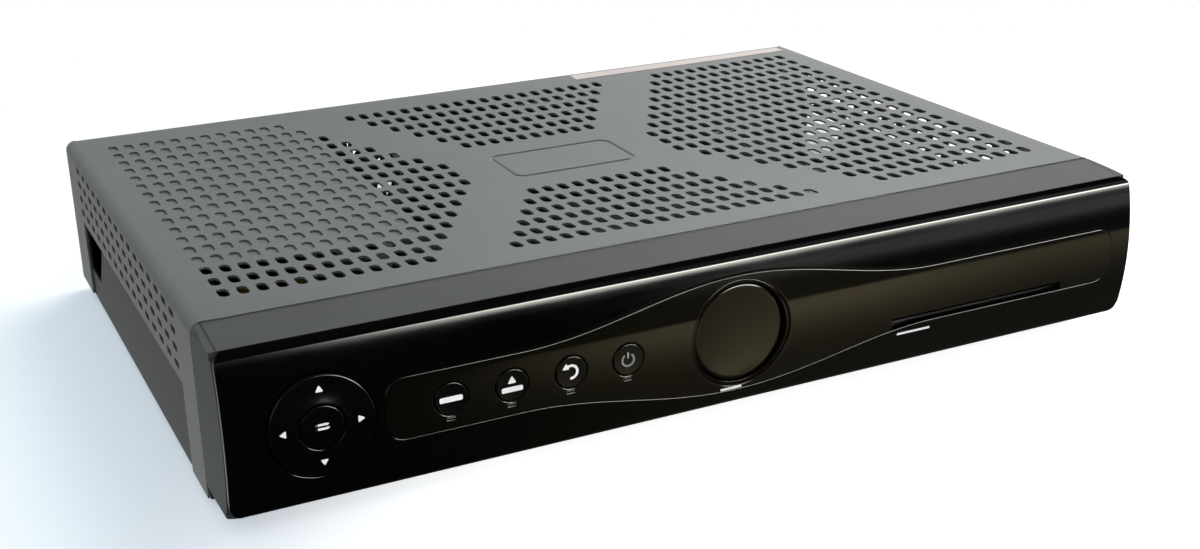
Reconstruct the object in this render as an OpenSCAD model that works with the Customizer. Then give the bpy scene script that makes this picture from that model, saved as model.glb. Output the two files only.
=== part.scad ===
// Television set-top receiver with a hard disc: perforated steel case, moulded front, boards,
// disc drive, fan and rear sockets. Millimetres, +Z up, the front faces -Y.
// Origin: under the middle of the overall box, on the surface that the feet stand on.

/* [Case] */
// Width over the steel cover
body_w = 364; // [356:1:376]
// Depth from the front face to the rear edge of the cover
body_d = 254; // [252:1:262]
// Height of the case without its feet
body_h = 62; // [62:0.5:68]
// Height of the rubber feet
foot_h = 5; // [3:0.5:8]
// Radius of the rubber feet
foot_r = 9; // [7:0.5:11]
// Thickness of the cover's steel sheet
sheet_t = 0.8; // [0.6:0.1:1]
// Outer radius of the cover's rolled top edges
edge_r = 4; // [3:0.5:5]
// Thickness of the tray's steel sheet
tray_t = 0.8; // [0.6:0.1:1]
// Depth of the moulded front
fascia_d = 27; // [26.5:0.5:28]
// Shadow gap between the moulded front and the cover
seam_gap = 0.5; // [0.3:0.1:1]

/* [Cover vents] */
// Width of each vent hole
hole_w = 3.3; // [2.6:0.1:3.8]
// Length of each vent hole, along the depth
hole_l = 7.2; // [5.6:0.1:8.4]
// Spacing of the vent holes across the width
pitch_x = 6.5; // [6.2:0.1:7]
// Spacing of the vent holes along the depth
pitch_y = 11.53; // [11:0.01:12]
// Least border from the cover's sides to the middle of the first column
border_x = 16; // [14:0.5:20]
// Least border from the cover's ends to the middle of the first row
border_y = 20.5; // [18:0.5:24]
// Columns in the first row of each side field
side_cols = 12; // [10:1:12]
// Most columns that a side field gains towards the middle of the depth
side_growth = 7; // [5:1:7]
// Plain columns between a side field and the front field
plain_cols = 4; // [3:1:5]
// Rows in the front field and in the rear field
end_rows = 6; // [4:1:6]
// Rows of vent holes in each side of the cover
band_rows = 4; // [3:1:4]
// Spacing of the rows in the sides
band_pitch = 6.1; // [5.5:0.1:6.1]
// Height of the cover's side band
band_h = 29; // [28:0.5:31]
// Length of the full-height strip at the front of each side
front_strip = 21; // [18:1:26]
// Length of the full-height strip at the rear of each side
rear_strip = 24; // [20:1:28]
// Width of the pressed outline in the middle of the cover
crest_w = 55; // [50:1:60]
// Depth of the pressed outline in the middle of the cover
crest_d = 31; // [26:1:34]

/* [Front face] */
// Radius of the bowed front face, seen from the side
face_r = 110; // [104:1:130]
// Thickness of the gloss front panel
panel_t = 2.5; // [2.2:0.1:2.8]
// Radius of the gloss panel's upper and lower lips
lip_r = 3.2; // [3:0.1:4]
// Drop from the cover to the gloss panel's upper lip
lip_drop = 2.2; // [1.8:0.1:3]
// Height of the gloss panel's lower lip above the case's underside
lip_rise = 3; // [2:0.5:4]
// Radius of the front's lower corners, seen from the front
corner_r = 7; // [5:0.5:9]
// How far the gloss panel's ends stand in from the sides
panel_inset = 1.3; // [1:0.1:2]
// Half height of the smoked window's straight parts
window_half = 11; // [10.6:0.1:11.8]
// How far the smoked window swells above and below its straight parts at the ring
window_swell = 10.8; // [10.6:0.1:11.2]
// Half width of the swelling
swell_w = 84; // [76:1:88]
// Gap between the direction pad and the smoked window
window_gap = 3; // [3:0.5:5]
// Distance from the window's right end to the side of the case
window_end = 11; // [9:0.5:17]
// Corner radius of the smoked window
window_r = 7; // [5:0.5:9]
// How far the smoked window stands proud of the gloss panel
window_rise = 0.4; // [0.2:0.1:0.6]
// Length of the card slot
slot_l = 80; // [74:1:86]
// Height of the card slot
slot_h = 3; // [2.6:0.1:3.2]
// Distance from the card slot's right end to the window's right end
slot_end = 24; // [20:1:28]

/* [Controls] */
// Outer radius of the direction pad
pad_r = 17.5; // [17:0.1:17.5]
// How far the direction pad stands proud of the gloss panel
pad_proud = 0.8; // [0.6:0.1:1]
// Distance from the middle of the direction pad to the side of the case
pad_inset = 32; // [31:0.5:32]
// Tilt of the direction pad each way, in degrees
pad_tilt = 2; // [1:0.5:2]
// Radius of the select key
key_r = 7.2; // [6.6:0.1:7.2]
// Radius of the four round buttons
button_r = 5.7; // [5:0.1:5.9]
// Share of the room between the pad and the ring that is left clear at each end of the button row
row_margin = 0.22; // [0.18:0.01:0.24]
// Travel of the buttons and of the select key
travel = 0.8; // [0.5:0.1:0.8]
// Radius of the light ring
ring_r = 19.8; // [19:0.1:19.8]
// Place of the light ring across the width
ring_x = 2; // [0:0.5:3]

/* [Inside] */
// Height of the boards above the tray
standoff_h = 5; // [4:0.5:6]
// Thickness of the circuit boards
board_t = 1.6; // [1.2:0.1:1.8]
// Length of the disc drive
drive_l = 147; // [140:1:147]
// Width of the disc drive
drive_w = 101.6; // [95:0.1:101.6]
// Height of the disc drive
drive_h = 26.1; // [20:0.1:26.1]
// Width and height of the fan
fan_w = 50; // [46:1:50]
// Thickness of the fan
fan_d = 15; // [12:1:16]
// Blades of the fan
fan_blades = 7; // [5:1:9]

/* [Rear sockets] */
// Reach of the aerial sockets beyond the cover
jack_reach = 9; // [8:0.5:11]
// Thread radius of the dish sockets
dish_r = 4.76; // [4.5:0.01:4.8]
// Spacing of the dish sockets
dish_pitch = 20; // [18:0.5:22]

/* [Hidden] */

// Facets of the large arcs when the model is shown
bow_fn = 240;

// Clearances that several pieces share
slip = 0.15;
fit = 0.25;

// Heights
floor_z = foot_h;
top_z = floor_z + body_h;
tray_z = floor_z + tray_t;
board_z = tray_z + standoff_h;
deck_z = board_z + board_t;
ceiling_z = top_z - sheet_t;
band_z = top_z - band_h;
wall_top = band_z + 2.3;

// Depths, front to rear
total_d = pad_proud + body_d + jack_reach;
front_y = -total_d / 2;
face_y = front_y + pad_proud;
seam_y = face_y + fascia_d;
cover_y = seam_y + seam_gap;
rear_y = face_y + body_d;
cover_d = rear_y - cover_y;
vent_y = (cover_y + rear_y) / 2;
back_y = rear_y - sheet_t - slip;
panel_y = back_y - tray_t;
tray_y = seam_y + 0.3;
upturn_h = 12;

// Widths
half_w = body_w / 2;
tray_half = half_w - sheet_t - slip;
inner_half = tray_half - tray_t;

// Places across the front
pad_x = -half_w + pad_inset;
window_left = pad_x + pad_r + window_gap;
window_right = half_w - window_end;
slot_left = window_right - slot_end - slot_l;
row_left = pad_x + pad_r;
row_room = ring_x - ring_r - row_left;
button_pitch = row_room * (1 - 2 * row_margin) / 3;
button_x = row_left + row_room * row_margin;

// Front section: u counts back from the face, the lips' arcs have their centres at lip_u
lip_top = top_z - lip_drop;
lip_low = floor_z + lip_rise;
mid_z = (lip_top + lip_low) / 2;
lip_half = (lip_top - lip_low) / 2;
lip_z = lip_half - lip_r;
lip_u = face_r - sqrt(pow(face_r - lip_r, 2) - lip_z * lip_z);
lip_back = lip_u + 0.8;
panel_half = half_w - panel_inset;
control_z = mid_z - 0.3;
flange_t = 0.8;
flange_w = 2;
flange_r = face_r - panel_t - slip - flange_t;
window_top = window_half + window_swell + flange_w;
web_u = face_r - sqrt(flange_r * flange_r - window_top * window_top) + fit;
web_t = 1.8;
web_back = web_u + web_t;
wall_t = 2.2;
board_u = web_back + 4.8;
switch_h = 3.4;
switch_u = board_u - switch_h;

// Columns and rows of the cover's vents, and the cells that are open
cols = floor((body_w - 2 * border_x) / pitch_x) + 1;
rows = floor((cover_d - 2 * border_y) / pitch_y) + 1;
end_cols = side_cols + plain_cols;
function row_rank(j) = min(j, rows - 1 - j);
function column_rank(i) = min(i, cols - 1 - i);
function in_side(i, j) = column_rank(i) < side_cols + min(row_rank(j), side_growth);
function in_end(i, j) = row_rank(j) < end_rows && column_rank(i) >= end_cols + row_rank(j);
vent_cells = [for (j = [0:rows - 1], i = [0:cols - 1]) if (in_side(i, j) || in_end(i, j)) [i, j]];

// Rows of vents in the cover's sides
band_l = cover_d - front_strip - rear_strip;
band_cols = floor((band_l - hole_l) / pitch_y) + 1;
band_first = (band_h + edge_r - (band_rows - 1) * band_pitch) / 2 - 0.5;

// A hole with round ends, long along Y
module obround(w, l) {
  for (s = [-1, 1]) translate([0, s * (l - w) / 2]) circle(d = w, $fn = 24);
  square([w, l - w], center = true);
}

// Extrudes a drawing of X and Z along +Y from y0
module along_y(y0, length) {
  translate([0, y0 + length, 0]) rotate([90, 0, 0]) linear_extrude(length) children();
}

// Extrudes a drawing of Y and Z along +X from x0
module along_x(x0, length) {
  translate([x0, 0, 0]) rotate([90, 0, 90]) linear_extrude(length) children();
}

// Round bar along Y
module bar_y(x, y0, z, r, length) {
  translate([x, y0 + length, z]) rotate([90, 0, 0]) cylinder(r = r, h = length, $fn = 48);
}

// Round bar along X
module bar_x(x0, y, z, r, length) {
  translate([x0, y, z]) rotate([0, 90, 0]) cylinder(r = r, h = length, $fn = 32);
}

module post(x, y, z0, z1, r) {
  translate([x, y, z0]) cylinder(r = r, h = z1 - z0, $fn = 32);
}

module block(x0, x1, y0, y1, z0, z1) {
  translate([x0, y0, z0]) cube([x1 - x0, y1 - y0, z1 - z0]);
}

// Steel top cover: one folded sheet, its top and upper sides pierced by rows of vents

// Outline of the folded sheet, seen from the front
module cover_outline(inset) {
  x = half_w - inset;
  z = top_z - inset;
  r = edge_r - inset;
  for (s = [-1, 1]) translate([s * (x - r), z - r]) circle(r, $fn = 48);
  translate([r - x, floor_z]) square([2 * (x - r), z - floor_z]);
  translate([-x, floor_z]) square([2 * x, z - r - floor_z]);
}

module cover_sheet() {
  along_y(cover_y, cover_d) difference() {
    cover_outline(0);
    cover_outline(sheet_t);
  }
}

module top_vents() {
  translate([0, vent_y, ceiling_z - 1]) linear_extrude(sheet_t + 2) for (c = vent_cells)
    translate([(c[0] - (cols - 1) / 2) * pitch_x, (c[1] - (rows - 1) / 2) * pitch_y])
      obround(hole_w, hole_l);
}

// Both sides in one cut: the tool runs right across the case
module side_vents() {
  along_x(-half_w - 1, body_w + 2) for (i = [0:band_cols - 1], k = [0:band_rows - 1])
    translate([vent_y + (i - (band_cols - 1) / 2) * pitch_y, band_z + band_first + k * band_pitch - 2])
      rotate(90) obround(hole_w * 0.8, hole_l);
}

// Pressed outline in the plain middle of the X
module crest_groove() {
  translate([0, vent_y, top_z - 0.3]) linear_extrude(1) difference() {
    round_box(crest_w, crest_d, 5);
    round_box(crest_w - 2, crest_d - 2, 4);
  }
}

module round_box(w, h, r) {
  for (x = [-1, 1], y = [-1, 1]) translate([x * (w / 2 - r), y * (h / 2 - r)]) circle(r, $fn = 32);
  square([w, h - 2 * r], center = true);
  square([w - 2 * r, h], center = true);
}

// Places of the three screws in the cover's rear flange
rear_screws = [-half_w + 12, -28, half_w - 12];
flange_h = 8;
flange_z = ceiling_z - flange_h / 2;

module top_cover() {
  color("dimgray") difference() {
    union() {
      cover_sheet();
      block(-half_w + edge_r, half_w - edge_r, rear_y - sheet_t, rear_y,
        ceiling_z - flange_h, ceiling_z + sheet_t / 2);
    }
    top_vents();
    side_vents();
    crest_groove();
    // Between the strips the sides stop below the vented band
    block(-half_w - 1, half_w + 1, cover_y + front_strip, rear_y - rear_strip, 0, band_z);
    // The strips stop short of the tray's underside
    block(-half_w - 1, half_w + 1, cover_y - 1, rear_y + 1, 0, floor_z + 0.6);
    for (x = rear_screws) bar_y(x, rear_y - 5, flange_z, 1.6, 10);
    // Room for the heads of the fan's upper screws
    for (s = [-1, 1]) bar_y(fan_x + s * fan_hole, rear_y - 2, fan_z + fan_hole, fan_head_r + 0.4, 4);
  }
}

// Dark sheet behind the vents over the power supply
module blanking_sheet() {
  x0 = -half_w + border_x - hole_w;
  color("gray") block(x0, x0 + 13 * pitch_x, vent_y - 5.5 * pitch_y, vent_y + 8.5 * pitch_y,
    ceiling_z - 0.4, ceiling_z);
}

module cover_screws() {
  color("black") for (x = rear_screws) {
    bar_y(x, back_y - 6, flange_z, 1.4, rear_y - back_y + 6.5);
    difference() {
      bar_y(x, rear_y, flange_z, 3.2, 1.8);
      along_y(rear_y + 0.9, 2) translate([x, flange_z]) {
        square([3.6, 0.7], center = true);
        square([0.7, 3.6], center = true);
      }
    }
  }
}

// Tray: floor, side walls, front upturn, formed board posts and the drive's vents

hook_x = [for (s = [-0.77, -0.275, 0.275, 0.77]) s * half_w];
hook_w = 12;
foot_x = half_w - 28;
foot_front = tray_y + 22;
foot_rear = panel_y - 22;

// Triangular gap in the side wall, under the vented band at the rear
module wall_gap() {
  along_x(-half_w, body_w) polygon([[rear_y - rear_strip + 1, wall_top + 1],
    [rear_y - rear_strip - 38, wall_top + 1], [rear_y - rear_strip - 20, band_z - 21],
    [rear_y - rear_strip + 1, band_z - 21]]);
}

module base_tray() {
  color("darkgray") union() {
    difference() {
      block(-tray_half, tray_half, tray_y, back_y, floor_z, wall_top);
      block(-inner_half, inner_half, tray_y + tray_t, back_y + 1, tray_z, wall_top + 1);
      block(-inner_half + 3, inner_half - 3, tray_y - 1, tray_y + tray_t + 1,
        floor_z + upturn_h, wall_top + 1);
      wall_gap();
      // Windows for the moulded front's hooks
      for (x = hook_x) block(x - hook_w / 2 - fit, x + hook_w / 2 + fit, tray_y - 1,
        tray_y + tray_t + 1, tray_z + 2.8, tray_z + 5.6);
      // Vents in the floor under the drive and under the power supply
      for (i = [0:7]) block(drive_x0 + 13 + 16 * i, drive_x0 + 21 + 16 * i, drive_y0 + 24, drive_y0 + 54,
        0, tray_z + 1);
      for (i = [0:4]) block(power_x0 + (i + 0.9) * part_pitch, power_x0 + (i + 0.9) * part_pitch + 6,
        transformer_y - 10, transformer_y + 20, 0, tray_z + 1);
      for (x = [-foot_x, foot_x], y = [foot_front, foot_rear]) post(x, y, 0, tray_z + 1, 2);
    }
    for (p = concat(power_posts, main_posts)) difference() {
      post(p[0], p[1], tray_z - 0.1, board_z, 3.2);
      post(p[0], p[1], tray_z + 0.6, board_z + 1, 1.3);
    }
  }
}

module rubber_feet() {
  color("black") for (x = [-foot_x, foot_x], y = [foot_front, foot_rear]) difference() {
    union() {
      post(x, y, 0, floor_z, foot_r);
      post(x, y, floor_z - 0.1, tray_z + 1.2, 1.9);
    }
    post(x, y, -1, 1.5, 2.6);
  }
}

// Moulded front

// Side view of the front, t inside its skin and open at the depth given
module face_profile(t, back) {
  band = lip_z * (face_r - t) / (face_r - lip_r);
  intersection() {
    union() {
      intersection() {
        translate([face_y + face_r, mid_z]) circle(face_r - t, $fn = bow_fn);
        translate([face_y - 1, mid_z - band]) square([back + 1, 2 * band]);
      }
      for (s = [-1, 1]) translate([face_y + lip_u, mid_z + s * lip_z]) circle(lip_r - t, $fn = 48);
      translate([face_y + lip_u, mid_z - lip_half + t]) square([back - lip_u, 2 * (lip_half - t)]);
    }
    translate([face_y - 1, floor_z]) square([back + 1, body_h]);
  }
}

// Front view of a plate whose lower and upper corners have their own radii
module front_outline(x, z0, z1, r_low, r_high) {
  for (s = [-1, 1]) {
    translate([s * (x - r_low), z0 + r_low]) circle(r_low, $fn = 48);
    translate([s * (x - r_high), z1 - r_high]) circle(r_high, $fn = 48);
  }
  translate([-x, z0 + r_low]) square([2 * x, z1 - r_high - z0 - r_low]);
  translate([r_low - x, z0]) square([2 * (x - r_low), 2 * r_low]);
  translate([r_high - x, z1 - 2 * r_high]) square([2 * (x - r_high), 2 * r_high]);
}

// Half height of the window, a cosine swelling about the ring
swell_steps = 32;
function swell(x) = abs(x - ring_x) < swell_w
  ? window_swell * (1 + cos(180 * (x - ring_x) / swell_w)) / 2 : 0;

// Front view of the window, widened all round by m
module window_outline(m) {
  x0 = window_left + window_r;
  x1 = window_right - window_r;
  xs = concat([x0], [for (k = [0:swell_steps]) ring_x + swell_w * (2 * k / swell_steps - 1)], [x1]);
  last = len(xs) - 1;
  polygon(concat([for (x = xs) [x, control_z + window_half + swell(x) + m]],
    [for (k = [0:last]) [xs[last - k], control_z - window_half - swell(xs[last - k]) - m]]));
  for (x = [x0, x1], s = [-1, 1]) translate([x, control_z + s * (window_half - window_r)])
    circle(window_r + m, $fn = 40);
  translate([window_left - m, control_z - window_half + window_r])
    square([window_right - window_left + 2 * m, 2 * (window_half - window_r)]);
}

// Curved sheet between two radii of the face
module face_shell(x0, x1, r_out, r_in) {
  along_x(x0, x1 - x0) translate([face_y + face_r, mid_z]) difference() {
    circle(r_out, $fn = bow_fn);
    circle(r_in, $fn = bow_fn);
  }
}

// Places of the four round buttons and of the light guides under them
buttons = [for (i = [0:3]) button_x + i * button_pitch];
guide_z = control_z - button_r - 1.2;
guide_w = 3;
guide_h = 1;

module button_slots(m) {
  for (x = buttons) block(x - guide_w / 2 - m, x + guide_w / 2 + m, face_y - 2, face_y + web_back + 2,
    guide_z - guide_h / 2 - m, guide_z + guide_h / 2 + m);
}

module front_panel() {
  color("black") difference() {
    intersection() {
      along_x(-half_w, body_w) difference() {
        face_profile(0, lip_back);
        face_profile(panel_t, lip_back + 1);
      }
      along_y(front_y - 1, 20)
        front_outline(panel_half, lip_low, lip_top, corner_r - panel_inset, edge_r - panel_inset);
    }
    bar_y(pad_x, front_y - 1, control_z, pad_r + 2 * fit, 20);
    along_y(front_y - 1, 20) window_outline(slip);
  }
}

// Places of the card slot and of the reader's mouth behind it
slot_low = control_z - window_half + 0.4;
slot_x = slot_left + slot_l / 2;
mouth_t = 1.3;

module window_lens() {
  color("#2d2519") difference() {
    union() {
      intersection() {
        face_shell(-half_w, half_w, face_r + window_rise, flange_r);
        along_y(front_y - 1, 20) window_outline(0);
      }
      intersection() {
        face_shell(-half_w, half_w, face_r - panel_t - slip, flange_r);
        along_y(front_y - 1, 20) window_outline(flange_w);
      }
    }
    bar_y(ring_x, front_y - 1, control_z, ring_r + slip, 20);
    for (x = buttons) bar_y(x, front_y - 1, control_z, button_r + fit, 20);
    button_slots(0.1);
    // The lens ends above the card slot, which opens at the window's lower edge
    block(slot_left, slot_left + slot_l, front_y - 1, face_y + 20, 0, slot_low + slot_h);
  }
}

// Light guide ring round the smoked disc, with its flange behind the web and three pegs
ring_wall = 1.2;
ledge_u = web_u - 0.6;
ring_flange = 1.2;

module ring_light() {
  color("lightgray") difference() {
    union() {
      intersection() {
        bar_y(ring_x, face_y - 1, control_z, ring_r, web_back + 1.5);
        along_x(-half_w, body_w) translate([face_y + face_r, mid_z]) circle(face_r - 0.2, $fn = bow_fn);
      }
      bar_y(ring_x, face_y + web_back, control_z, ring_r + 3.7, ring_flange);
      for (a = [90, 210, 330]) bar_y(ring_x + (ring_r + 2) * cos(a), face_y + web_back + ring_flange / 2,
        control_z + (ring_r + 2) * sin(a), 1.5, board_u - web_back - ring_flange / 2);
    }
    bar_y(ring_x, face_y - 2, control_z, ring_r - ring_wall, ledge_u + 2);
    bar_y(ring_x, face_y - 2, control_z, ring_r - 2 * ring_wall, 20);
  }
}

module ring_disc() {
  dish_ball = 90;
  color("#17120e") difference() {
    bar_y(ring_x, face_y, control_z, ring_r - ring_wall - slip, ledge_u);
    translate([ring_x, face_y + 3.8 - dish_ball, control_z]) sphere(dish_ball, $fn = 2 * bow_fn);
  }
}

// Side view of the moulded front behind the gloss panel
module fascia_profile() {
  face_profile(panel_t + slip, lip_back + 1);
  polygon([[face_y + lip_back + slip, lip_low + slip], [face_y + lip_back + slip, lip_top],
    [seam_y, top_z - 0.4], [seam_y, floor_z], [face_y + lip_back + 4, floor_z]]);
}

front_x0 = -half_w + 10;
front_x1 = ring_x + 26;
front_z0 = floor_z + 10;
front_z1 = top_z - 10;
front_posts = [for (x = [front_x0 + 4, (pad_x + button_x) / 2, front_x1 - 4], z = [front_z0 + 4, front_z1 - 4])
  [x, z]];
eye_x = (buttons[3] + button_r + ring_x - ring_r) / 2;

module fascia() {
  color("#4b4d4c") union() {
    difference() {
      intersection() {
        along_x(-half_w - 1, body_w + 2) fascia_profile();
        along_y(face_y, fascia_d) front_outline(half_w, floor_z, top_z, corner_r, edge_r);
        linear_extrude(top_z + 1) polygon([[-panel_half, face_y], [panel_half, face_y],
          [half_w, seam_y], [-half_w, seam_y]]);
      }
      // Hollow behind the web
      along_x(-panel_half + wall_t, 2 * (panel_half - wall_t)) polygon([
        [face_y + web_back, floor_z + wall_t], [seam_y + 1, floor_z + wall_t],
        [seam_y + 1, top_z - 0.4 - wall_t], [face_y + web_back, lip_top - wall_t]]);
      // Room in front of the web
      block(-panel_half + wall_t, panel_half - wall_t, face_y - 1, face_y + web_u, 0, top_z + 1);
      // Openings of the web
      bar_y(pad_x, face_y, control_z, pad_r + 2.5, 20);
      bar_y(ring_x, face_y, control_z, ring_r + 1.2, 20);
      bar_y(eye_x, face_y, control_z, 3.6, 20);
      for (x = buttons) block(x - button_r - 2.8, x + button_r + 2.8, face_y, face_y + 20,
        guide_z - guide_h, control_z + button_r);
      block(slot_left - mouth_t - fit, slot_left + slot_l + mouth_t + fit, face_y, face_y + 20,
        slot_low - mouth_t - fit, slot_low + slot_h + mouth_t + fit);
    }
    // Bosses for the front board
    for (p = front_posts) difference() {
      bar_y(p[0], face_y + web_back - 0.1, p[1], 3, board_u - web_back + 0.1);
      bar_y(p[0], face_y + web_back, p[1], 1.2, 20);
    }
    // Ribs on the back of the web
    for (x = [slot_left - 9, slot_left + slot_l + 9, half_w - 14]) block(x - 0.8, x + 0.8,
      face_y + web_back - 0.1, seam_y - 6, floor_z + wall_t - 0.1, lip_top - wall_t + 0.1);
    // Tongue under the cover's front edge
    block(-half_w + 14, half_w - 14, seam_y - 3, seam_y + 6,
      ceiling_z - slip - 1.5, ceiling_z - slip);
    // Hooks through the tray's upturn
    for (x = hook_x) {
      block(x - hook_w / 2, x + hook_w / 2, seam_y - 6, seam_y - 3.5, floor_z + wall_t - 0.1, tray_z + 5.3);
      block(x - hook_w / 2, x + hook_w / 2, seam_y - 4, tray_y + tray_t + 3.2, tray_z + 3.1, tray_z + 5.3);
      along_x(x - hook_w / 2, hook_w) polygon([[tray_y + tray_t + slip, tray_z + 3.2],
        [tray_y + tray_t + slip, tray_z + 2], [tray_y + tray_t + 3.2, tray_z + 3.2]]);
    }
  }
}

// Controls

// Round key that follows the face's bow, proud by p, with a guide stem into its switch
module bowed_key(x, r, p, back) {
  intersection() {
    bar_y(x, front_y - 2, control_z, r, face_y + back - front_y + 2);
    along_x(x - r - 1, 2 * r + 2) translate([face_y + face_r, mid_z]) circle(face_r + p, $fn = bow_fn);
  }
}

// How far each key's stem reaches into its switch at rest, and the stem's radius
reach = 0.8;
stem_r = 1.7;
rocker_back = web_u + 0.6;
pivot_u = rocker_back + 2.3;
gimbal_r = 12.2;
gimbal_in = 9.5;
gimbal_h = 3;
pin_r = 0.8;
nub_at = pad_r - 0.3;

module dpad_rocker() {
  color("#141414") difference() {
    union() {
      bowed_key(pad_x, pad_r, pad_proud, rocker_back - 0.5);
      bar_y(pad_x, face_y + rocker_back - 1.1, control_z, pad_r + 1.1, 1.1);
      // Ears that hold the pins of the cross-joint ring
      for (s = [-1, 1]) {
        translate([pad_x + s * 13.65, face_y + rocker_back + 1.85, control_z])
          cube([1.5, 3.9, 4.4], center = true);
        bar_x(pad_x + (s > 0 ? gimbal_in + 0.5 : -13.2), face_y + pivot_u, control_z,
          pin_r, 13.2 - gimbal_in - 0.5);
      }
      for (a = [0:90:270]) bar_y(pad_x + nub_at * cos(a), face_y + rocker_back - 0.1,
        control_z + nub_at * sin(a), 1.1, switch_u + 0.9 - rocker_back + 0.1);
    }
    bar_y(pad_x, front_y - 1, control_z, key_r + 2 * fit, total_d / 4);
  }
}

// Ring of the pad's cross joint: pivots left and right on the rocker, up and down on the carrier
module dpad_gimbal() {
  color("lightgray") difference() {
    bar_y(pad_x, face_y + pivot_u - gimbal_h / 2, control_z, gimbal_r, gimbal_h);
    bar_y(pad_x, face_y, control_z, gimbal_in, 30);
    bar_x(pad_x - 20, face_y + pivot_u, control_z, pin_r + 0.06, 40);
    post(pad_x, face_y + pivot_u, control_z - 20, control_z + 20, pin_r + 0.06);
  }
}

module dpad_carrier() {
  color("whitesmoke") union() {
    difference() {
      bar_y(pad_x, face_y + board_u - 0.8, control_z, 14.6, 0.8);
      bar_y(pad_x, face_y + board_u - 1, control_z, 11, 2);
    }
    for (s = [-1, 1]) {
      translate([pad_x, face_y + (pivot_u - 1.3 + board_u) / 2, control_z + s * 13.8])
        cube([4.4, board_u - pivot_u + 1.3, 1.6], center = true);
      post(pad_x, face_y + pivot_u, control_z + (s > 0 ? gimbal_in + 0.5 : -13.2),
        control_z + (s > 0 ? 13.2 : -gimbal_in - 0.5), pin_r);
    }
  }
}

module select_key() {
  color("#161616") union() {
    bowed_key(pad_x, key_r, pad_proud - 0.2, rocker_back + 0.6);
    bar_y(pad_x, face_y + rocker_back + 0.5, control_z, key_r + 1.6, 1);
    bar_y(pad_x, face_y + rocker_back + 1.4, control_z, stem_r, switch_u + reach - rocker_back - 1.4);
  }
}

// Round button: cap in the window, ears behind it and a stem into its switch
ear_u = face_r - flange_r + fit;

module round_button(x) {
  color("#141414") union() {
    bowed_key(x, button_r, 0.6, ear_u + 0.2);
    block(x - button_r - 2, x + button_r + 2, face_y + ear_u, face_y + ear_u + 1.2,
      control_z - 2, control_z + 2);
    bar_y(x, face_y + ear_u + 1, control_z, stem_r, switch_u + reach - ear_u - 1);
  }
}

module guide_button() {
  round_button(buttons[0]);
}

module menu_button() {
  round_button(buttons[1]);
}

module back_button() {
  round_button(buttons[2]);
}

module standby_button() {
  round_button(buttons[3]);
}

module front_board() {
  color("darkgreen") difference() {
    block(front_x0, front_x1, face_y + board_u, face_y + board_u + board_t, front_z0, front_z1);
    for (p = front_posts) bar_y(p[0], face_y + board_u - 1, p[1], 1.5, 5);
  }
}

// Push switch on the front board, with the well that the key's stem presses
module key_switch(x, z, w, well_r) {
  difference() {
    union() {
      translate([x, face_y + board_u - switch_h / 2 + 0.3, z]) cube([w, switch_h - 0.6, w], center = true);
      bar_y(x, face_y + switch_u, z, w / 2 - 0.3, 1);
    }
    bar_y(x, face_y + switch_u - 1, z, well_r, 3.4);
  }
}

module key_switches() {
  color("#303030") {
    for (x = concat([pad_x], buttons)) key_switch(x, control_z, 6, stem_r + 0.12);
    for (a = [0:90:270])
      key_switch(pad_x + nub_at * cos(a), control_z + nub_at * sin(a), 4.5, 1.5);
  }
}

led_d = 1.6;

module light_guides() {
  color("whitesmoke") for (x = buttons) block(x - guide_w / 2, x + guide_w / 2, face_y + 0.4,
    face_y + board_u - led_d, guide_z - guide_h / 2, guide_z + guide_h / 2);
}

module indicator_leds() {
  color("ivory") for (x = buttons) block(x - 1.5, x + 1.5, face_y + board_u - led_d, face_y + board_u,
    guide_z - 0.8, guide_z + 0.8);
}

module infrared_receiver() {
  color("#202028") union() {
    block(eye_x - 2.8, eye_x + 2.8, face_y + board_u - 2.2, face_y + board_u, control_z - 3.2, control_z + 3.2);
    intersection() {
      translate([eye_x, face_y + board_u - 2, control_z]) sphere(2.4, $fn = 48);
      block(eye_x - 3, eye_x + 3, face_y + board_u - 6, face_y + board_u - 1.9, control_z - 3, control_z + 3);
    }
  }
}

// Card reader: mouth in the front, case and contact block, four legs on the main board
reader_w = 62;
reader_d = 52;
reader_h = 9;
card_w = 56;
reader_z = slot_low + slot_h / 2;
reader_y = face_y + web_back + 6;
reader_legs = [[slot_x - reader_w / 2 + 4, reader_y + 24], [slot_x + reader_w / 2 - 4, reader_y + 24],
  [slot_x - reader_w / 2 + 4, reader_y + reader_d - 4], [slot_x + reader_w / 2 - 4, reader_y + reader_d - 4]];

module card_reader() {
  color("#2a2a2a") difference() {
    union() {
      // The mouth narrows from the slot to the card's width
      block(slot_left - mouth_t, slot_left + slot_l + mouth_t,
        face_y + panel_t + slip + flange_t + 1, reader_y + 2, slot_low - mouth_t, slot_low + slot_h + mouth_t);
      block(slot_x - reader_w / 2, slot_x + reader_w / 2, reader_y, reader_y + reader_d,
        reader_z - reader_h / 2, reader_z + reader_h / 2);
      for (p = reader_legs) post(p[0], p[1], deck_z, reader_z, 2.4);
    }
    block(slot_left, slot_left + slot_l, face_y, face_y + web_back + 1, slot_low, slot_low + slot_h);
    translate([0, 0, slot_low]) linear_extrude(slot_h) polygon([
      [slot_left, face_y + web_back], [slot_left + slot_l, face_y + web_back],
      [slot_x + card_w / 2, reader_y + 1], [slot_x - card_w / 2, reader_y + 1]]);
    block(slot_x - card_w / 2, slot_x + card_w / 2, reader_y, reader_y + reader_d - 4,
      reader_z - slot_h / 2, reader_z + slot_h / 2);
    // Window over the contacts
    block(slot_x - 16, slot_x + 16, reader_y + 24, reader_y + 48, reader_z + 1, reader_z + reader_h);
  }
}

// Boards and what they carry

main_x1 = inner_half - 3;
drive_y0 = tray_y + 16;
drive_y1 = drive_y0 + drive_w;
drive_z = tray_z + 9;
fan_y0 = panel_y - fan_d;
fan_z = tray_z + 2 + fan_w / 2;
fan_hole = fan_w * 0.4;
fan_head_r = 3.6;

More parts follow.
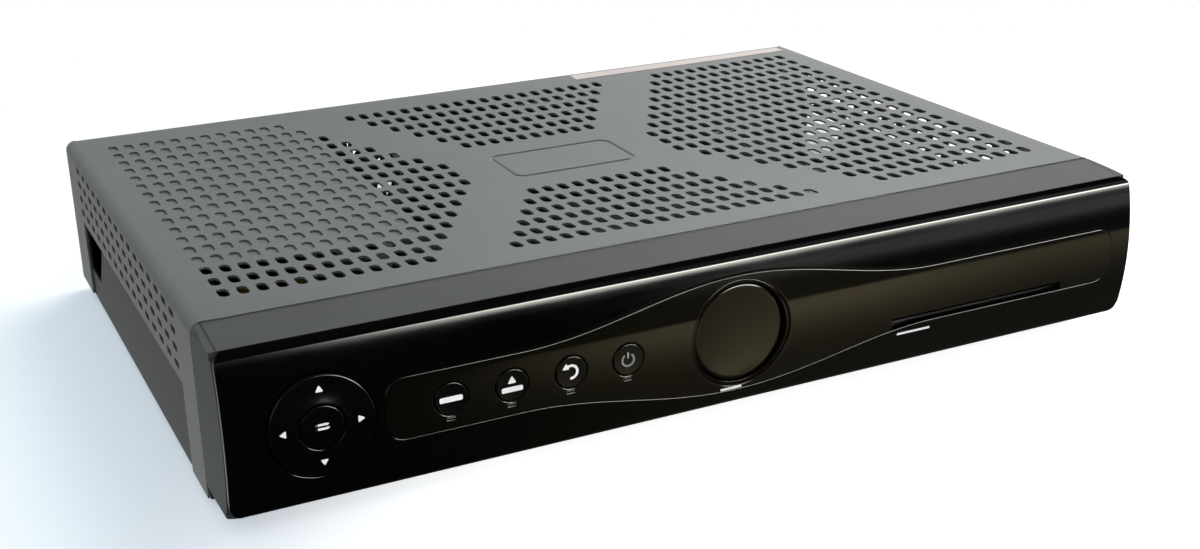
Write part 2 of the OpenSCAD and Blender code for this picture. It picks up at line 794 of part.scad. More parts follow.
// Sockets, from the right-hand end of the back to the left; the fan stands beside the tuner
phone_x = main_x1 - 15.25;
net_x = phone_x - 15.5;
usb_x = net_x - 16;
hdmi_x = usb_x - 16;
optical_x = hdmi_x - 14;
phono_x = optical_x - 13;
scart_w = 50;
scart_x = phono_x - 8 - scart_w / 2;
aerial_w = 15;
aerial_x = scart_x - scart_w / 2 - 2 - aerial_w / 2;
tuner_x1 = aerial_x - 9;
dish_x = [tuner_x1 - 9 - dish_pitch, tuner_x1 - 9];
tuner_x0 = dish_x[0] - 9;
fan_x = tuner_x0 - 7 - fan_w / 2;

// The power board fills the room between the case's left side and the fan
power_x0 = -inner_half + 8;
power_x1 = fan_x - fan_w / 2 - 4.25;
part_pitch = (power_x1 - power_x0) / 6;
drive_x0 = power_x1 + 13.25;
drive_x1 = drive_x0 + drive_l;
main_x0 = drive_x0 - 5;

main_y0 = tray_y + 6;
main_y1 = panel_y - 1.2;
arm_x = drive_x1 + 6;
step_y = drive_y1 + 6;
notch_x = fan_x + fan_w / 2 + 5;
notch_y = fan_y0 - 6;
power_y0 = main_y0 + 48;
power_d = main_y1 - power_y0;
scart_front = back_y + 0.4 - 26;
cpu_x = drive_x1 - 20;
cpu_y = step_y + 0.4 * (scart_front - step_y);
main_posts = [[main_x0 + 5, step_y + 8], [main_x0 + 5, (step_y + notch_y) / 2 + 14], [drive_x1 - 60, cpu_y + 8],
  [arm_x + 20, main_y0 + 6], [main_x1 - 8, main_y0 + 8], [main_x1 - 8, cpu_y + 10]];
power_posts = [for (x = [power_x0 + 5, power_x1 - 5], y = [power_y0 + 5, main_y1 - 12]) [x, y]];

module main_board() {
  color("#1d4a2a") translate([0, 0, board_z]) linear_extrude(board_t) difference() {
    polygon([[main_x0, step_y], [arm_x, step_y], [arm_x, main_y0], [main_x1, main_y0],
      [main_x1, main_y1], [notch_x, main_y1], [notch_x, notch_y], [main_x0, notch_y]]);
    for (p = main_posts) translate(p) circle(1.6, $fn = 24);
  }
}

module power_board() {
  color("#7a6a3a") translate([0, 0, board_z]) linear_extrude(board_t) difference() {
    translate([power_x0, power_y0]) square([power_x1 - power_x0, main_y1 - power_y0]);
    for (p = power_posts) translate(p) circle(1.6, $fn = 24);
  }
}

module board_screws() {
  color("silver") for (p = concat(power_posts, main_posts)) {
    post(p[0], p[1], tray_z + 1, deck_z + 0.5, 1.25);
    difference() {
      post(p[0], p[1], deck_z, deck_z + 2, 2.7);
      for (a = [0, 90]) translate([p[0], p[1], deck_z + 2]) rotate(a) cube([3, 0.6, 1.4], center = true);
    }
  }
  color("silver") for (p = front_posts) {
    bar_y(p[0], face_y + web_back + 1, p[1], 1.1, board_u - web_back + board_t);
    bar_y(p[0], face_y + board_u + board_t, p[1], 2.6, 1.8);
  }
}

// The largest chip carries the heatsink
cpu_w = 31;

module chip(x, y, w, d, h) {
  difference() {
    translate([x - w / 2, y - d / 2, deck_z]) cube([w, d, h]);
    translate([x - w / 2 + 2, y - d / 2 + 2, deck_z + h]) cylinder(r = 0.8, h = 0.4, center = true, $fn = 24);
  }
}

module main_chips() {
  color("#1c1c1f") {
    chip(cpu_x, cpu_y, cpu_w, cpu_w, 2.2);
    for (k = [0:3]) chip(cpu_x + 34, cpu_y - 21 + 14 * k, 14, 9, 1.2);
    chip(cpu_x - 62, cpu_y - 2, 20, 20, 1.6);
    chip(cpu_x + 62, cpu_y - 38, 22, 22, 1.6);
    chip(cpu_x + 64, cpu_y - 74, 12, 18, 1.2);
  }
}

// Extruded heatsink: base and upright fins
module finned(x, y, z, w, d, h, base, count) {
  translate([x - w / 2, y - d / 2, z]) {
    cube([w, d, base]);
    for (k = [0:count - 1]) translate([k * (w - 1.2) / (count - 1), 0, base / 2]) cube([1.2, d, h - base / 2]);
  }
}

module processor_heatsink() {
  color("silver") union() {
    finned(cpu_x, cpu_y, deck_z + 2.2, cpu_w + 4, cpu_w + 4, 14, 2.5, 9);
  }
}

// Radial capacitor: can with a beaded foot
module capacitor(x, y, r, h) {
  translate([x, y, deck_z]) difference() {
    cylinder(r = r, h = h, $fn = 32);
    translate([0, 0, 1.6]) difference() {
      cylinder(r = r + 1, h = 0.8, $fn = 32);
      cylinder(r = r * 0.9, h = 3, center = true, $fn = 32);
    }
  }
}

module board_capacitors() {
  color("#23324a") {
    for (k = [0:4]) capacitor(cpu_x - 26 - 9 * (k % 2), cpu_y - 9 + 9 * floor(k / 2), 3.2, 8);
    for (k = [0:3]) capacitor(main_x1 - 12, step_y - 60 + 11 * k, 4, 11);
    for (k = [0:2]) capacitor(main_x0 + 14 + 12 * k, step_y + 8, 5, 12);
  }
}

// Rear sockets: heights above the main board
dish_z = deck_z + 9;
tuner_y = panel_y - 0.4;
tuner_d = 42;
tuner_h = 16;
aerial_h = 36;
aerial_z = [deck_z + 9, deck_z + 27];
scart_pitch = 22;
scart_z = [deck_z + 11, deck_z + 11 + scart_pitch];
phono_z = [deck_z + 9, deck_z + 23];
socket_y = back_y + 0.4;

// Screened box with a lid that overlaps its walls
module screened_can(x0, x1, y0, y1, z0, z1) {
  block(x0, x1, y0, y1, z0, z1 - 0.6);
  block(x0 - 0.4, x1 + 0.4, y0 - 0.4, y1, z1 - 3, z1);
}

module tuner_cans() {
  color("silver") {
    difference() {
      screened_can(tuner_x0, tuner_x1, tuner_y - tuner_d, tuner_y, deck_z, deck_z + tuner_h);
      for (x = dish_x) bar_y(x, tuner_y - 8, dish_z, 3.6, 20);
      // Vents of the lid
      for (k = [0:4]) block(tuner_x0 + 4, tuner_x1 - 4, tuner_y - 36 + 6 * k, tuner_y - 34 + 6 * k,
        deck_z + tuner_h - 1, deck_z + tuner_h + 1);
    }
    difference() {
      screened_can(aerial_x - aerial_w / 2, aerial_x + aerial_w / 2, tuner_y - 34, tuner_y, deck_z,
        deck_z + aerial_h);
      for (z = aerial_z) bar_y(aerial_x, tuner_y - 6, z, 4, 20);
    }
  }
}

// Threaded dish sockets: hexagon, thread and the bore for the plug's pin
module dish_sockets() {
  color("silver") for (x = dish_x) difference() {
    union() {
      bar_y(x, tuner_y - 7, dish_z, 3.5, 9);
      translate([x, back_y + 2, dish_z]) rotate([90, 0, 0]) cylinder(r = 6.2, h = 2, $fn = 6);
      bar_y(x, back_y + 1, dish_z, dish_r, rear_y + jack_reach - back_y - 1);
    }
    bar_y(x, rear_y + jack_reach - 9, dish_z, 0.9, 10);
    bar_y(x, rear_y + jack_reach - 0.8, dish_z, 3.4, 2);
  }
}

// Aerial sockets, one with an outer sleeve and pin and one with a narrower sleeve
module aerial_sockets() {
  color("silver") for (k = [0, 1]) difference() {
    union() {
      bar_y(aerial_x, tuner_y - 5, aerial_z[k], 3.9, 8);
      bar_y(aerial_x, back_y, aerial_z[k], 6, 1.2);
      bar_y(aerial_x, back_y + 1, aerial_z[k], k == 0 ? 4.75 : 4.1, rear_y + jack_reach - back_y - 2);
    }
    difference() {
      bar_y(aerial_x, back_y + 2, aerial_z[k], k == 0 ? 4.1 : 3.4, 20);
      bar_y(aerial_x, back_y + 1, aerial_z[k], k == 0 ? 1.15 : 1.9, rear_y + jack_reach - back_y - 3);
    }
    bar_y(aerial_x, rear_y, aerial_z[k], k == 0 ? 0.3 : 1.2, 20);
  }
}

// Mouth of a scart socket, with its one slanted end
module scart_mouth(w, h) {
  polygon([[-w / 2, -h / 2], [w / 2 - 5, -h / 2], [w / 2, h / 2 - 2], [w / 2 - 1, h / 2], [-w / 2, h / 2]]);
}

module scart_sockets() {
  color("#1a1a1a") difference() {
    block(scart_x - scart_w / 2, scart_x + scart_w / 2, socket_y - 26, socket_y, deck_z,
      scart_z[1] + 10);
    for (z = scart_z) difference() {
      along_y(socket_y - 16, 20) translate([scart_x, z]) scart_mouth(46, 13);
      // Tongue with the contacts, short of the mouth, with its keyway slots
      difference() {
        block(scart_x - 20.5, scart_x + 17, socket_y - 17, socket_y - 6, z - 2.6, z + 2.6);
        for (k = [0:8]) for (s = [-1, 1]) block(scart_x - 18.6 + 4 * k, scart_x - 17.2 + 4 * k,
          socket_y - 16, socket_y, z + s * 2.6 - 0.6, z + s * 2.6 + 0.6);
      }
    }
  }
}

module phono_sockets() {
  color("#202020") difference() {
    union() {
      block(phono_x - 6, phono_x + 6, socket_y - 14, socket_y, deck_z, phono_z[1] + 6.5);
      for (z = phono_z) {
        bar_y(phono_x, socket_y - 1, z, 4.15, rear_y + 7 - socket_y);
        bar_y(phono_x, socket_y - 1, z, 5, 2);
      }
    }
    for (z = phono_z) bar_y(phono_x, rear_y - 2, z, 1.65, 12);
  }
}

module optical_socket() {
  color("#191919") difference() {
    block(optical_x - 5, optical_x + 5, socket_y - 14, socket_y + 0.6, deck_z, deck_z + 10);
    block(optical_x - 3.4, optical_x + 3.4, socket_y - 7, socket_y + 2, deck_z + 2, deck_z + 8.4);
  }
}

// Metal shell on a board, open at the rear, with a contact tongue that stops short of the mouth
module shell_socket(x, w, h, depth, tongue_z, tongue_t) {
  difference() {
    block(x - w / 2, x + w / 2, socket_y - depth, socket_y, deck_z, deck_z + h);
    block(x - w / 2 + 0.6, x + w / 2 - 0.6, socket_y - depth + 2, socket_y + 1, deck_z + 0.6, deck_z + h - 0.6);
  }
  block(x - w / 2 + 1.8, x + w / 2 - 1.8, socket_y - depth + 1, socket_y - 1.5,
    deck_z + tongue_z, deck_z + tongue_z + tongue_t);
}

module hdmi_socket() {
  color("silver") shell_socket(hdmi_x, 15, 6, 11.5, 3.2, 1);
}

module usb_socket() {
  color("silver") shell_socket(usb_x, 13.2, 6.4, 14, 3.6, 1.9);
}

// Telephone-style socket: stepped mouth with a latch notch, its contacts on the far wall
module latch_socket(x, w, h, mouth_w, mouth_h) {
  difference() {
    block(x - w / 2, x + w / 2, socket_y - 16, socket_y, deck_z, deck_z + h);
    block(x - mouth_w / 2, x + mouth_w / 2, socket_y - 12, socket_y + 1,
      deck_z + h - 1.6 - mouth_h, deck_z + h - 1.6);
    block(x - 3, x + 3, socket_y - 12, socket_y + 1, deck_z + h - 3.2 - mouth_h, deck_z + h - 1.6);
  }
}

module network_socket() {
  color("#b9bcbd") latch_socket(net_x, 16, 13.5, 11.8, 8);
}

module phone_socket() {
  color("#2a2a2a") latch_socket(phone_x, 12.5, 12.5, 9.8, 6.6);
}

// Power supply: mains at the rear edge, transformer in the middle, filtered outputs in front

inlet_x = power_x0 + 22;
inlet_z = deck_z + 9;
inlet_w = 21;
inlet_h = 16;
inlet_d = 22;

module mains_inlet() {
  color("#151515") difference() {
    union() {
      block(inlet_x - inlet_w / 2, inlet_x + inlet_w / 2, socket_y - inlet_d, socket_y,
        deck_z, inlet_z + inlet_h / 2);
      block(inlet_x - inlet_w / 2 - 2, inlet_x + inlet_w / 2 + 2, back_y, back_y + 1.5,
        inlet_z - inlet_h / 2 - 0.5, inlet_z + inlet_h / 2 + 2);
    }
    difference() {
      along_y(socket_y - 13, 20) translate([inlet_x, inlet_z]) {
        for (s = [-1, 1]) translate([s * 4.3, 0]) circle(4.4, $fn = 40);
        square([8.6, 6.4], center = true);
      }
      for (s = [-1, 1]) bar_y(inlet_x + s * 4.3, socket_y - 14, inlet_z, 1.15, 8);
    }
  }
}

transformer_x = power_x0 + 3.14 * part_pitch;
transformer_y = power_y0 + 0.41 * power_d;

module power_transformer() {
  w = 2.57 * part_pitch;
  leg_x = 0.68 * part_pitch;
  leg_w = part_pitch / 2;
  d = 30;
  h = 28;
  color("#6d5b2c") translate([transformer_x, transformer_y, deck_z]) {
    // Ferrite core: two flat E shapes round the wound bobbin
    difference() {
      translate([-w / 2, -d / 2, 3]) cube([w, d, h - 3]);
      for (s = [-1, 1]) translate([s * leg_x - leg_w / 2, -d, 8]) cube([leg_w, 2 * d, h - 13]);
    }
    // Winding, and the bobbin's foot with its pins' rail
    for (s = [-1, 1]) translate([s * leg_x - leg_w / 2, -d / 2 - 4, 8]) cube([leg_w, d + 8, h - 13]);
    translate([-w / 2 + 2, -d / 2 - 4, 0]) cube([w - 4, d + 8, 3.5]);
  }
}

module power_capacitors() {
  color("#1f2a3d") {
    capacitor(power_x0 + 0.93 * part_pitch, transformer_y + 2, 0.786 * part_pitch, 34);
    for (k = [1:4]) capacitor(power_x0 + k * part_pitch, power_y0 + 19, 0.357 * part_pitch, 20);
    for (k = [1:3]) capacitor(power_x0 + (k + 0.5) * part_pitch, power_y0 + 32, 0.357 * part_pitch, 16);
  }
}

// Upright aluminium sheets with a foot, each with its transistor
module power_heatsinks() {
  w = 1.714 * part_pitch;
  h = 32;
  fin_t = 1.2;
  color("silver") for (p = [[power_x1 - part_pitch, power_y0 + 31],
    [power_x0 + 2.14 * part_pitch, transformer_y + 27]]) {
    translate([p[0] - w / 2, p[1], deck_z]) union() {
      cube([w, 1.6, h]);
      for (k = [0:5]) translate([0.2 + k * (w - fin_t - 0.4) / 5, 1, 0]) cube([fin_t, 6, h]);
      translate([0.29 * w, -4.4, 6]) cube([0.42 * w, 4.5, 15]);
    }
  }
}

// Mains choke, its filter capacitor and the fuse
module mains_filter() {
  choke_x = power_x1 - 2.29 * part_pitch;
  choke_y = main_y1 - 24;
  color("#8a5a2a") {
    translate([choke_x, choke_y, deck_z + 9]) rotate([90, 0, 0])
      rotate_extrude($fn = 48) translate([6.5, 0]) square([5, 7], center = true);
    translate([choke_x - 9, choke_y - 4, deck_z]) cube([18, 8, 1.4]);
    translate([power_x0 + 2.57 * part_pitch, choke_y - 26, deck_z]) cube([1.86 * part_pitch, 8, 16]);
    bar_x(inlet_x - 12, choke_y - 14, deck_z + 4.2, 2.6, 20);
    for (x = [-14, 6]) translate([inlet_x + x, choke_y - 17.5, deck_z]) cube([3, 7, 8]);
  }
}

// Disc drive, its cradle and rubber mountings

side_holes = [28.5, 28.5 + 101.6];
hole_z = drive_z + 6.35;
mount_gap = 2.6;
cradle_t = 1;

module disc_drive() {
  color("#9a9da0") difference() {
    union() {
      block(drive_x0, drive_x1, drive_y0, drive_y1, drive_z, drive_z + drive_h - 2);
      // Raised lid with rounded ends
      translate([(drive_x0 + drive_x1) / 2 - 2, (drive_y0 + drive_y1) / 2, drive_z + drive_h - 3])
        linear_extrude(3) round_box(drive_l - 14, drive_w - 6, 8);
    }
    // Circuit board's recess and the motor's boss
    difference() {
      block(drive_x0 + 6, drive_x1 + 1, drive_y0 + 4, drive_y1 - 4, drive_z - 1, drive_z + 3);
      post(drive_x0 + drive_l * 0.4, (drive_y0 + drive_y1) / 2, drive_z, drive_z + 4, 20);
      block(drive_x0, drive_x1 - 30, drive_y0, drive_y0 + 28, drive_z + 1.2, drive_z + 4);
    }
    for (x = side_holes, y = [drive_y0 - 1, drive_y1 - 5]) bar_y(drive_x0 + x, y, hole_z, 1.6, 6);
    // Connector recess
    block(drive_x1 - 6, drive_x1 + 1, drive_y0 + 12, drive_y0 + 62, drive_z - 1, drive_z + 8);
    // Lid's pivot recess
    post(drive_x0 + drive_l * 0.78, drive_y1 - 26, drive_z + drive_h - 0.6, drive_z + drive_h + 1, 7);
  }
}

module drive_cradle() {
  x0 = drive_x0 + 14;
  x1 = drive_x0 + side_holes[1] + 12;
  y0 = drive_y0 - mount_gap - cradle_t;
  y1 = drive_y1 + mount_gap + cradle_t;
  color("lightgray") difference() {
    union() {
      block(x0, x1, y0, y1, tray_z, tray_z + cradle_t);
      for (y = [y0, y1 - cradle_t]) block(x0, x1, y, y + cradle_t, tray_z, hole_z + 9);
    }
    for (x = side_holes, y = [y0 - 1, y1 - 2]) bar_y(drive_x0 + x, y, hole_z, 4.2, 4);
    // Weight-saving openings in the base
    for (i = [0:7]) block(drive_x0 + 13 + 16 * i, drive_x0 + 21 + 16 * i, drive_y0 + 4, drive_y0 + 74,
      0, tray_z + 3);
    for (y = [y0 - 1, y1 - 3]) block(drive_x0 + side_holes[0] + 20, drive_x0 + side_holes[1] - 20,
      y, y + 4, hole_z - 4, hole_z + 10);
  }
}

// Grommet, turned about Y: two flanges, a waist in the cradle's hole and a bore for the screw
module grommet(y, turn) {
  translate([0, y, 0]) rotate([90 * turn, 0, 0]) rotate_extrude($fn = 40)
    polygon([[1.95, -mount_gap + 0.2], [6, -mount_gap + 0.2], [6, -0.1], [4.1, -0.1], [4.1, cradle_t + 0.1],
      [6, cradle_t + 0.1], [6, cradle_t + 1.6], [1.95, cradle_t + 1.6]]);
}

module drive_grommets() {
  color("#3a3a3a") for (x = side_holes) {
    translate([drive_x0 + x, 0, hole_z]) grommet(drive_y0 - mount_gap, 1);
    translate([drive_x0 + x, 0, hole_z]) grommet(drive_y1 + mount_gap, -1);
  }
}

module drive_screws() {
  head_y = mount_gap + cradle_t + 1.8;
  color("silver") for (x = side_holes) {
    bar_y(drive_x0 + x, drive_y0 - head_y - 1, hole_z, 1.5, head_y + 4);
    bar_y(drive_x0 + x, drive_y0 - head_y - 2, hole_z, 4, 2);
    bar_y(drive_x0 + x, drive_y1 - 3, hole_z, 1.5, head_y + 4);
    bar_y(drive_x0 + x, drive_y1 + head_y, hole_z, 4, 2);
  }
}

// Fan at the rear panel: frame with struts and bearing, and a bladed rotor on its shaft

fan_bore = fan_w / 2 - 1.5;
blade_r = fan_bore - 0.7;
hub_r = fan_w * 0.2;

module fan_frame() {
  color("#181818") translate([fan_x, panel_y, fan_z]) rotate([90, 0, 0]) union() {
    difference() {
      linear_extrude(fan_d) round_box(fan_w, fan_w, 3);
      translate([0, 0, -1]) cylinder(r = fan_bore, h = fan_d + 2, $fn = 160);
      for (x = [-1, 1], y = [-1, 1]) translate([x * fan_hole, y * fan_hole, -1])
        cylinder(r = 2.1, h = fan_d + 2, $fn = 32);
      // Waist between the two corner flanges
      for (a = [0:90:270]) rotate(a) translate([fan_w / 2 - 0.7, -fan_w / 2 + 8, 3])
        cube([2, fan_w - 16, fan_d - 6]);
    }
    // Motor base on three struts at the outlet side
    difference() {
      union() {
        cylinder(r = hub_r, h = 2.4, $fn = 64);
        cylinder(r = 3, h = 8, $fn = 40);
        for (a = [30, 150, 270]) rotate(a) translate([0, -1.2, 0]) cube([fan_bore + 0.5, 2.4, 2.4]);
      }
      translate([0, 0, 1]) cylinder(r = 1.06, h = 10, $fn = 32);
    }
  }
}

// Rotor in the frame's own axes: cup, shaft and cambered blades
module fan_rotor() {
  blade_h = fan_d - 6.2;
  color("#202020") translate([fan_x, panel_y, fan_z]) rotate([90, 0, 0]) union() {
    difference() {
      translate([0, 0, 3]) cylinder(r = hub_r, h = fan_d - 4, $fn = 64);
      translate([0, 0, 2]) cylinder(r = hub_r - 1.2, h = fan_d - 4.4, $fn = 64);
    }
    translate([0, 0, 2]) cylinder(r = 1, h = fan_d - 4, $fn = 32);
    for (k = [0:fan_blades - 1]) rotate(k * 360 / fan_blades) intersection() {
      difference() {
        translate([0, 0, 3.4]) cylinder(r = blade_r, h = blade_h, $fn = 64);
        translate([0, 0, 3]) cylinder(r = hub_r - 0.5, h = blade_h + 2, $fn = 64);
      }
      translate([0, 9.5, 3.4 + blade_h]) rotate([0, 90, 0]) difference() {
        cylinder(r = 11, h = fan_w, $fn = 64);
        translate([0, 0, -1]) cylinder(r = 9.9, h = fan_w + 2, $fn = 64);
      }
      translate([0, -2, 0]) cube([fan_w, 8.5, fan_d]);
    }
  }
}

module fan_screws() {
  color("black") for (x = [-1, 1], z = [-1, 1]) {
    bar_y(fan_x + x * fan_hole, panel_y - fan_d + 3, fan_z + z * fan_hole, 1.9, fan_d - 3 + back_y - panel_y);
    bar_y(fan_x + x * fan_hole, back_y, fan_z + z * fan_hole, fan_head_r, 1.6);
  }
}

// Rear panel: sheet with a foot flange, the fan's grille and a cut-out for each socket
module rear_panel() {
  half = inner_half - slip;
  color("darkgray") difference() {
    union() {
      along_y(panel_y, tray_t) intersection() {
        translate([-half, tray_z]) square([2 * half, ceiling_z - slip - tray_z]);
        cover_outline(sheet_t + slip);
      }
      for (s = [-1, 1]) block(s * half * 0.6 - half * 0.35, s * half * 0.6 + half * 0.35,
        panel_y - 7, panel_y + 0.1, tray_z, tray_z + tray_t);
    }
    for (x = rear_screws) bar_y(x, panel_y - 1, flange_z, 1.5, 5);
    for (x = dish_x) bar_y(x, panel_y - 1, dish_z, 5.2, 5);
    for (z = aerial_z) bar_y(aerial_x, panel_y - 1, z, 5.2, 5);
    block(scart_x - scart_w / 2 - fit, scart_x + scart_w / 2 + fit, panel_y - 1, back_y + 1,
      deck_z - 1, scart_z[1] + 10 + fit);
    block(phono_x - 6 - fit, phono_x + 6 + fit, panel_y - 1, back_y + 1, deck_z - 1, phono_z[1] + 6.5 + fit);
    block(optical_x - 5 - fit, optical_x + 5 + fit, panel_y - 1, back_y + 1, deck_z - 1, deck_z + 10 + fit);
    block(hdmi_x - 7.5 - fit, hdmi_x + 7.5 + fit, panel_y - 1, back_y + 1, deck_z - 1, deck_z + 6 + fit);
    block(usb_x - 6.6 - fit, usb_x + 6.6 + fit, panel_y - 1, back_y + 1, deck_z - 1, deck_z + 6.4 + fit);
    block(net_x - 8 - fit, net_x + 8 + fit, panel_y - 1, back_y + 1, deck_z - 1, deck_z + 13.5 + fit);
    block(phone_x - 6.25 - fit, phone_x + 6.25 + fit, panel_y - 1, back_y + 1, deck_z - 1, deck_z + 12.5 + fit);
    block(inlet_x - inlet_w / 2 - fit, inlet_x + inlet_w / 2 + fit, panel_y - 1, back_y + 1,
      deck_z - 1, inlet_z + inlet_h / 2 + fit);
    for (x = [-1, 1], z = [-1, 1]) bar_y(fan_x + x * fan_hole, panel_y - 1, fan_z + z * fan_hole, 2.1, 5);
    // Fan grille: upright slots inside the fan's bore
    along_y(panel_y - 1, 4) translate([fan_x, fan_z]) intersection() {
      circle(fan_bore - 1, $fn = 64);
      for (k = [-4:4]) translate([5 * k - 1.5, -fan_w]) square([3, 2 * fan_w]);
    }
  }
}

// Leads inside the case

// Flat band of thickness t along a line of points, for a ribbon seen from the side
function unit(v) = v / norm(v);
function turned(p, k) = let (
    a = unit(p[min(k + 1, len(p) - 1)] - p[min(k, len(p) - 2)]),
    b = unit(p[max(k, 1)] - p[max(k - 1, 0)]), m = unit(a + b)) [-m[1], m[0]] / max(0.5, m * b);

module band(p, t) {
  last = len(p) - 1;
  polygon(concat([for (k = [0:last]) p[k] + turned(p, k) * t / 2],
    [for (k = [0:last]) p[last - k] - turned(p, last - k) * t / 2]));
}

plug_x = front_x1 - 34;
plug_w = 24;
plug_z = front_z1 - 9;
plug_u = board_u + board_t;
supply_y = step_y + 15;
fan_plug_x = main_x0 + 11;
data_y = drive_y0 + 32;
power_plug_y = drive_y0 + 52;

module board_connectors() {
  color("ivory") {
    // On the front board, on the main board's front strip, by the drive and on the power board
    block(plug_x, plug_x + plug_w, face_y + plug_u, face_y + plug_u + 5, plug_z - 2.6, plug_z + 2.6);
    block(plug_x, plug_x + plug_w, step_y + 3, step_y + 8, deck_z, deck_z + 7);
    block(arm_x + 3, arm_x + 9, data_y - 7, data_y + 7, deck_z, deck_z + 7);
    block(arm_x + 3, arm_x + 9, power_plug_y - 8, power_plug_y + 8, deck_z, deck_z + 7);
    block(power_x1 - 10, power_x1 - 3, supply_y, supply_y + 20, deck_z, deck_z + 8);
    block(main_x0 + 3, main_x0 + 10, supply_y, supply_y + 20, deck_z, deck_z + 8);
    block(fan_plug_x, fan_plug_x + 6, notch_y - 12, notch_y - 4, deck_z, deck_z + 7);
  }
}

// Ribbon from the front board, over the drive, to the main board
module front_ribbon() {
  over = drive_z + drive_h + 1;
  color("gainsboro") along_x(plug_x + 1, plug_w - 2) band([[face_y + plug_u + 5, plug_z],
    [seam_y + 2, plug_z], [drive_y0 + 4, over], [drive_y1 + 1, over],
    [step_y + 5.5, over - 5], [step_y + 5.5, deck_z + 7]], 0.9);
}

// Flat leads from the drive's end to the main board: data and power
module drive_leads() {
  exit_z = drive_z + 4;
  color("firebrick") for (p = [[data_y, 5], [power_plug_y, 7]]) {
    block(drive_x1 - 5.8, drive_x1 + 2, p[0] - p[1], p[0] + p[1], exit_z - 2.5, exit_z + 2.5);
    along_y(p[0] - p[1] + 0.5, 2 * p[1] - 1) band([[drive_x1 + 1, exit_z], [arm_x - 3, exit_z],
      [arm_x - 1, exit_z + 8], [arm_x + 6, exit_z + 8], [arm_x + 6, deck_z + 7]], 1.2);
  }
}

module power_lead() {
  x0 = power_x1 - 6.5;
  x1 = main_x0 + 6.5;
  color("#3a3a3a") along_y(supply_y + 2, 16) band([[x0, deck_z + 8], [x0, deck_z + 19],
    [x0 + 4, deck_z + 23], [x1 - 4, deck_z + 23], [x1, deck_z + 19], [x1, deck_z + 8]], 1.6);
}

module fan_lead() {
  z = fan_z - 14;
  color("#b03030") along_x(fan_plug_x + 1.5, 3) band([[fan_y0, z], [fan_y0 - 4, z],
    [notch_y - 8, z + 8], [notch_y - 8, deck_z + 7]], 1.4);
}

top_cover();
front_panel();
window_lens();
fascia();
base_tray();
rear_panel();
blanking_sheet();
rubber_feet();
cover_screws();
ring_light();
ring_disc();
dpad_rocker();
dpad_gimbal();
dpad_carrier();
select_key();
guide_button();
menu_button();
back_button();
standby_button();
front_board();
key_switches();
light_guides();
indicator_leds();
infrared_receiver();
main_board();
main_chips();
processor_heatsink();
board_capacitors();
tuner_cans();
card_reader();
dish_sockets();
aerial_sockets();
scart_sockets();
phono_sockets();
optical_socket();
hdmi_socket();
usb_socket();
network_socket();
phone_socket();
mains_inlet();
power_board();
power_transformer();
power_capacitors();
power_heatsinks();
mains_filter();
disc_drive();
drive_cradle();
drive_grommets();
drive_screws();
fan_frame();
fan_rotor();
fan_screws();
board_screws();
board_connectors();
front_ribbon();
drive_leads();
power_lead();
fan_lead();
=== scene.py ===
"""Looks of a cable tv receiver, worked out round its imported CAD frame. Metres, +Z up, front at -Y."""

import bmesh
import bpy
import numpy as np
from mathutils import Matrix, Vector
from mathutils.geometry import delaunay_2d_cdt


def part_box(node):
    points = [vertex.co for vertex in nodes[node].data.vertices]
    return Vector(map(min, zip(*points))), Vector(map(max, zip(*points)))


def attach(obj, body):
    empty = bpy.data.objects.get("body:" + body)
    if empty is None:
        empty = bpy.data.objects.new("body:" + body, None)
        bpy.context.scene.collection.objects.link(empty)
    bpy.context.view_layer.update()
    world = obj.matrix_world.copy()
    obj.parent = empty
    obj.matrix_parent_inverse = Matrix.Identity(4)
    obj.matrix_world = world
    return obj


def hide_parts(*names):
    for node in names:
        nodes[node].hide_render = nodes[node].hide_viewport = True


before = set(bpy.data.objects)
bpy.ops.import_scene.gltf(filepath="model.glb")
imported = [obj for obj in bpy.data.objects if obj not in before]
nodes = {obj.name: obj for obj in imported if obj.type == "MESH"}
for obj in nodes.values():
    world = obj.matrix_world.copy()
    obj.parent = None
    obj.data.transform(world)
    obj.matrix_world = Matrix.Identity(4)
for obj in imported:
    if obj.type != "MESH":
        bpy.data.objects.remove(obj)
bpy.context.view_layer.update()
mm = 0.001

# Camera at the photograph's place: its right, down and forward directions and its centre
# were fitted to the case's corners and to the rows of vents. Lens for a picture 1200 wide.
view_right = Vector((0.893696, -0.448478, -0.013231))
view_down = Vector((-0.173277, -0.317792, -0.932193))
view_ahead = Vector((0.413864, 0.835389, -0.361720))
view_centre = Vector((-0.26941, -0.56769, 0.25773))
focal_pixels = 1593.0
picture_width = 1200
camera_data = bpy.data.cameras.new("camera")
camera_data.sensor_width = 36
camera_data.lens = camera_data.sensor_width * focal_pixels / picture_width
camera_data.clip_start = 0.01
camera = bpy.data.objects.new("camera", camera_data)
bpy.context.scene.collection.objects.link(camera)
turned_view = Matrix((view_right, -view_down, -view_ahead)).transposed().to_4x4()
camera.matrix_world = Matrix.Translation(view_centre) @ turned_view
bpy.context.scene.camera = camera
bpy.context.scene.view_settings.view_transform = "Standard"


def lamp(name, place, size, power, colour):
    """Soft square lamp at place, turned towards the object."""
    data = bpy.data.lights.new(name, "AREA")
    data.shape = "SQUARE"
    data.size = size
    data.energy = power
    data.color = colour
    made = bpy.data.objects.new(name, data)
    made.location = place
    made.rotation_euler = (-Vector(place)).to_track_quat("-Z", "Y").to_euler()
    made.visible_glossy = False
    bpy.context.scene.collection.objects.link(made)


# A large warm lamp behind on the right throws the soft shadow to the left, and a weak one fills
lamp("back_lamp", (0.95, 0.75, 1.35), 1.3, 21, (1.0, 0.975, 0.93))
lamp("front_lamp", (-0.5, -1.3, 1.1), 1.2, 5, (0.94, 0.97, 1.0))


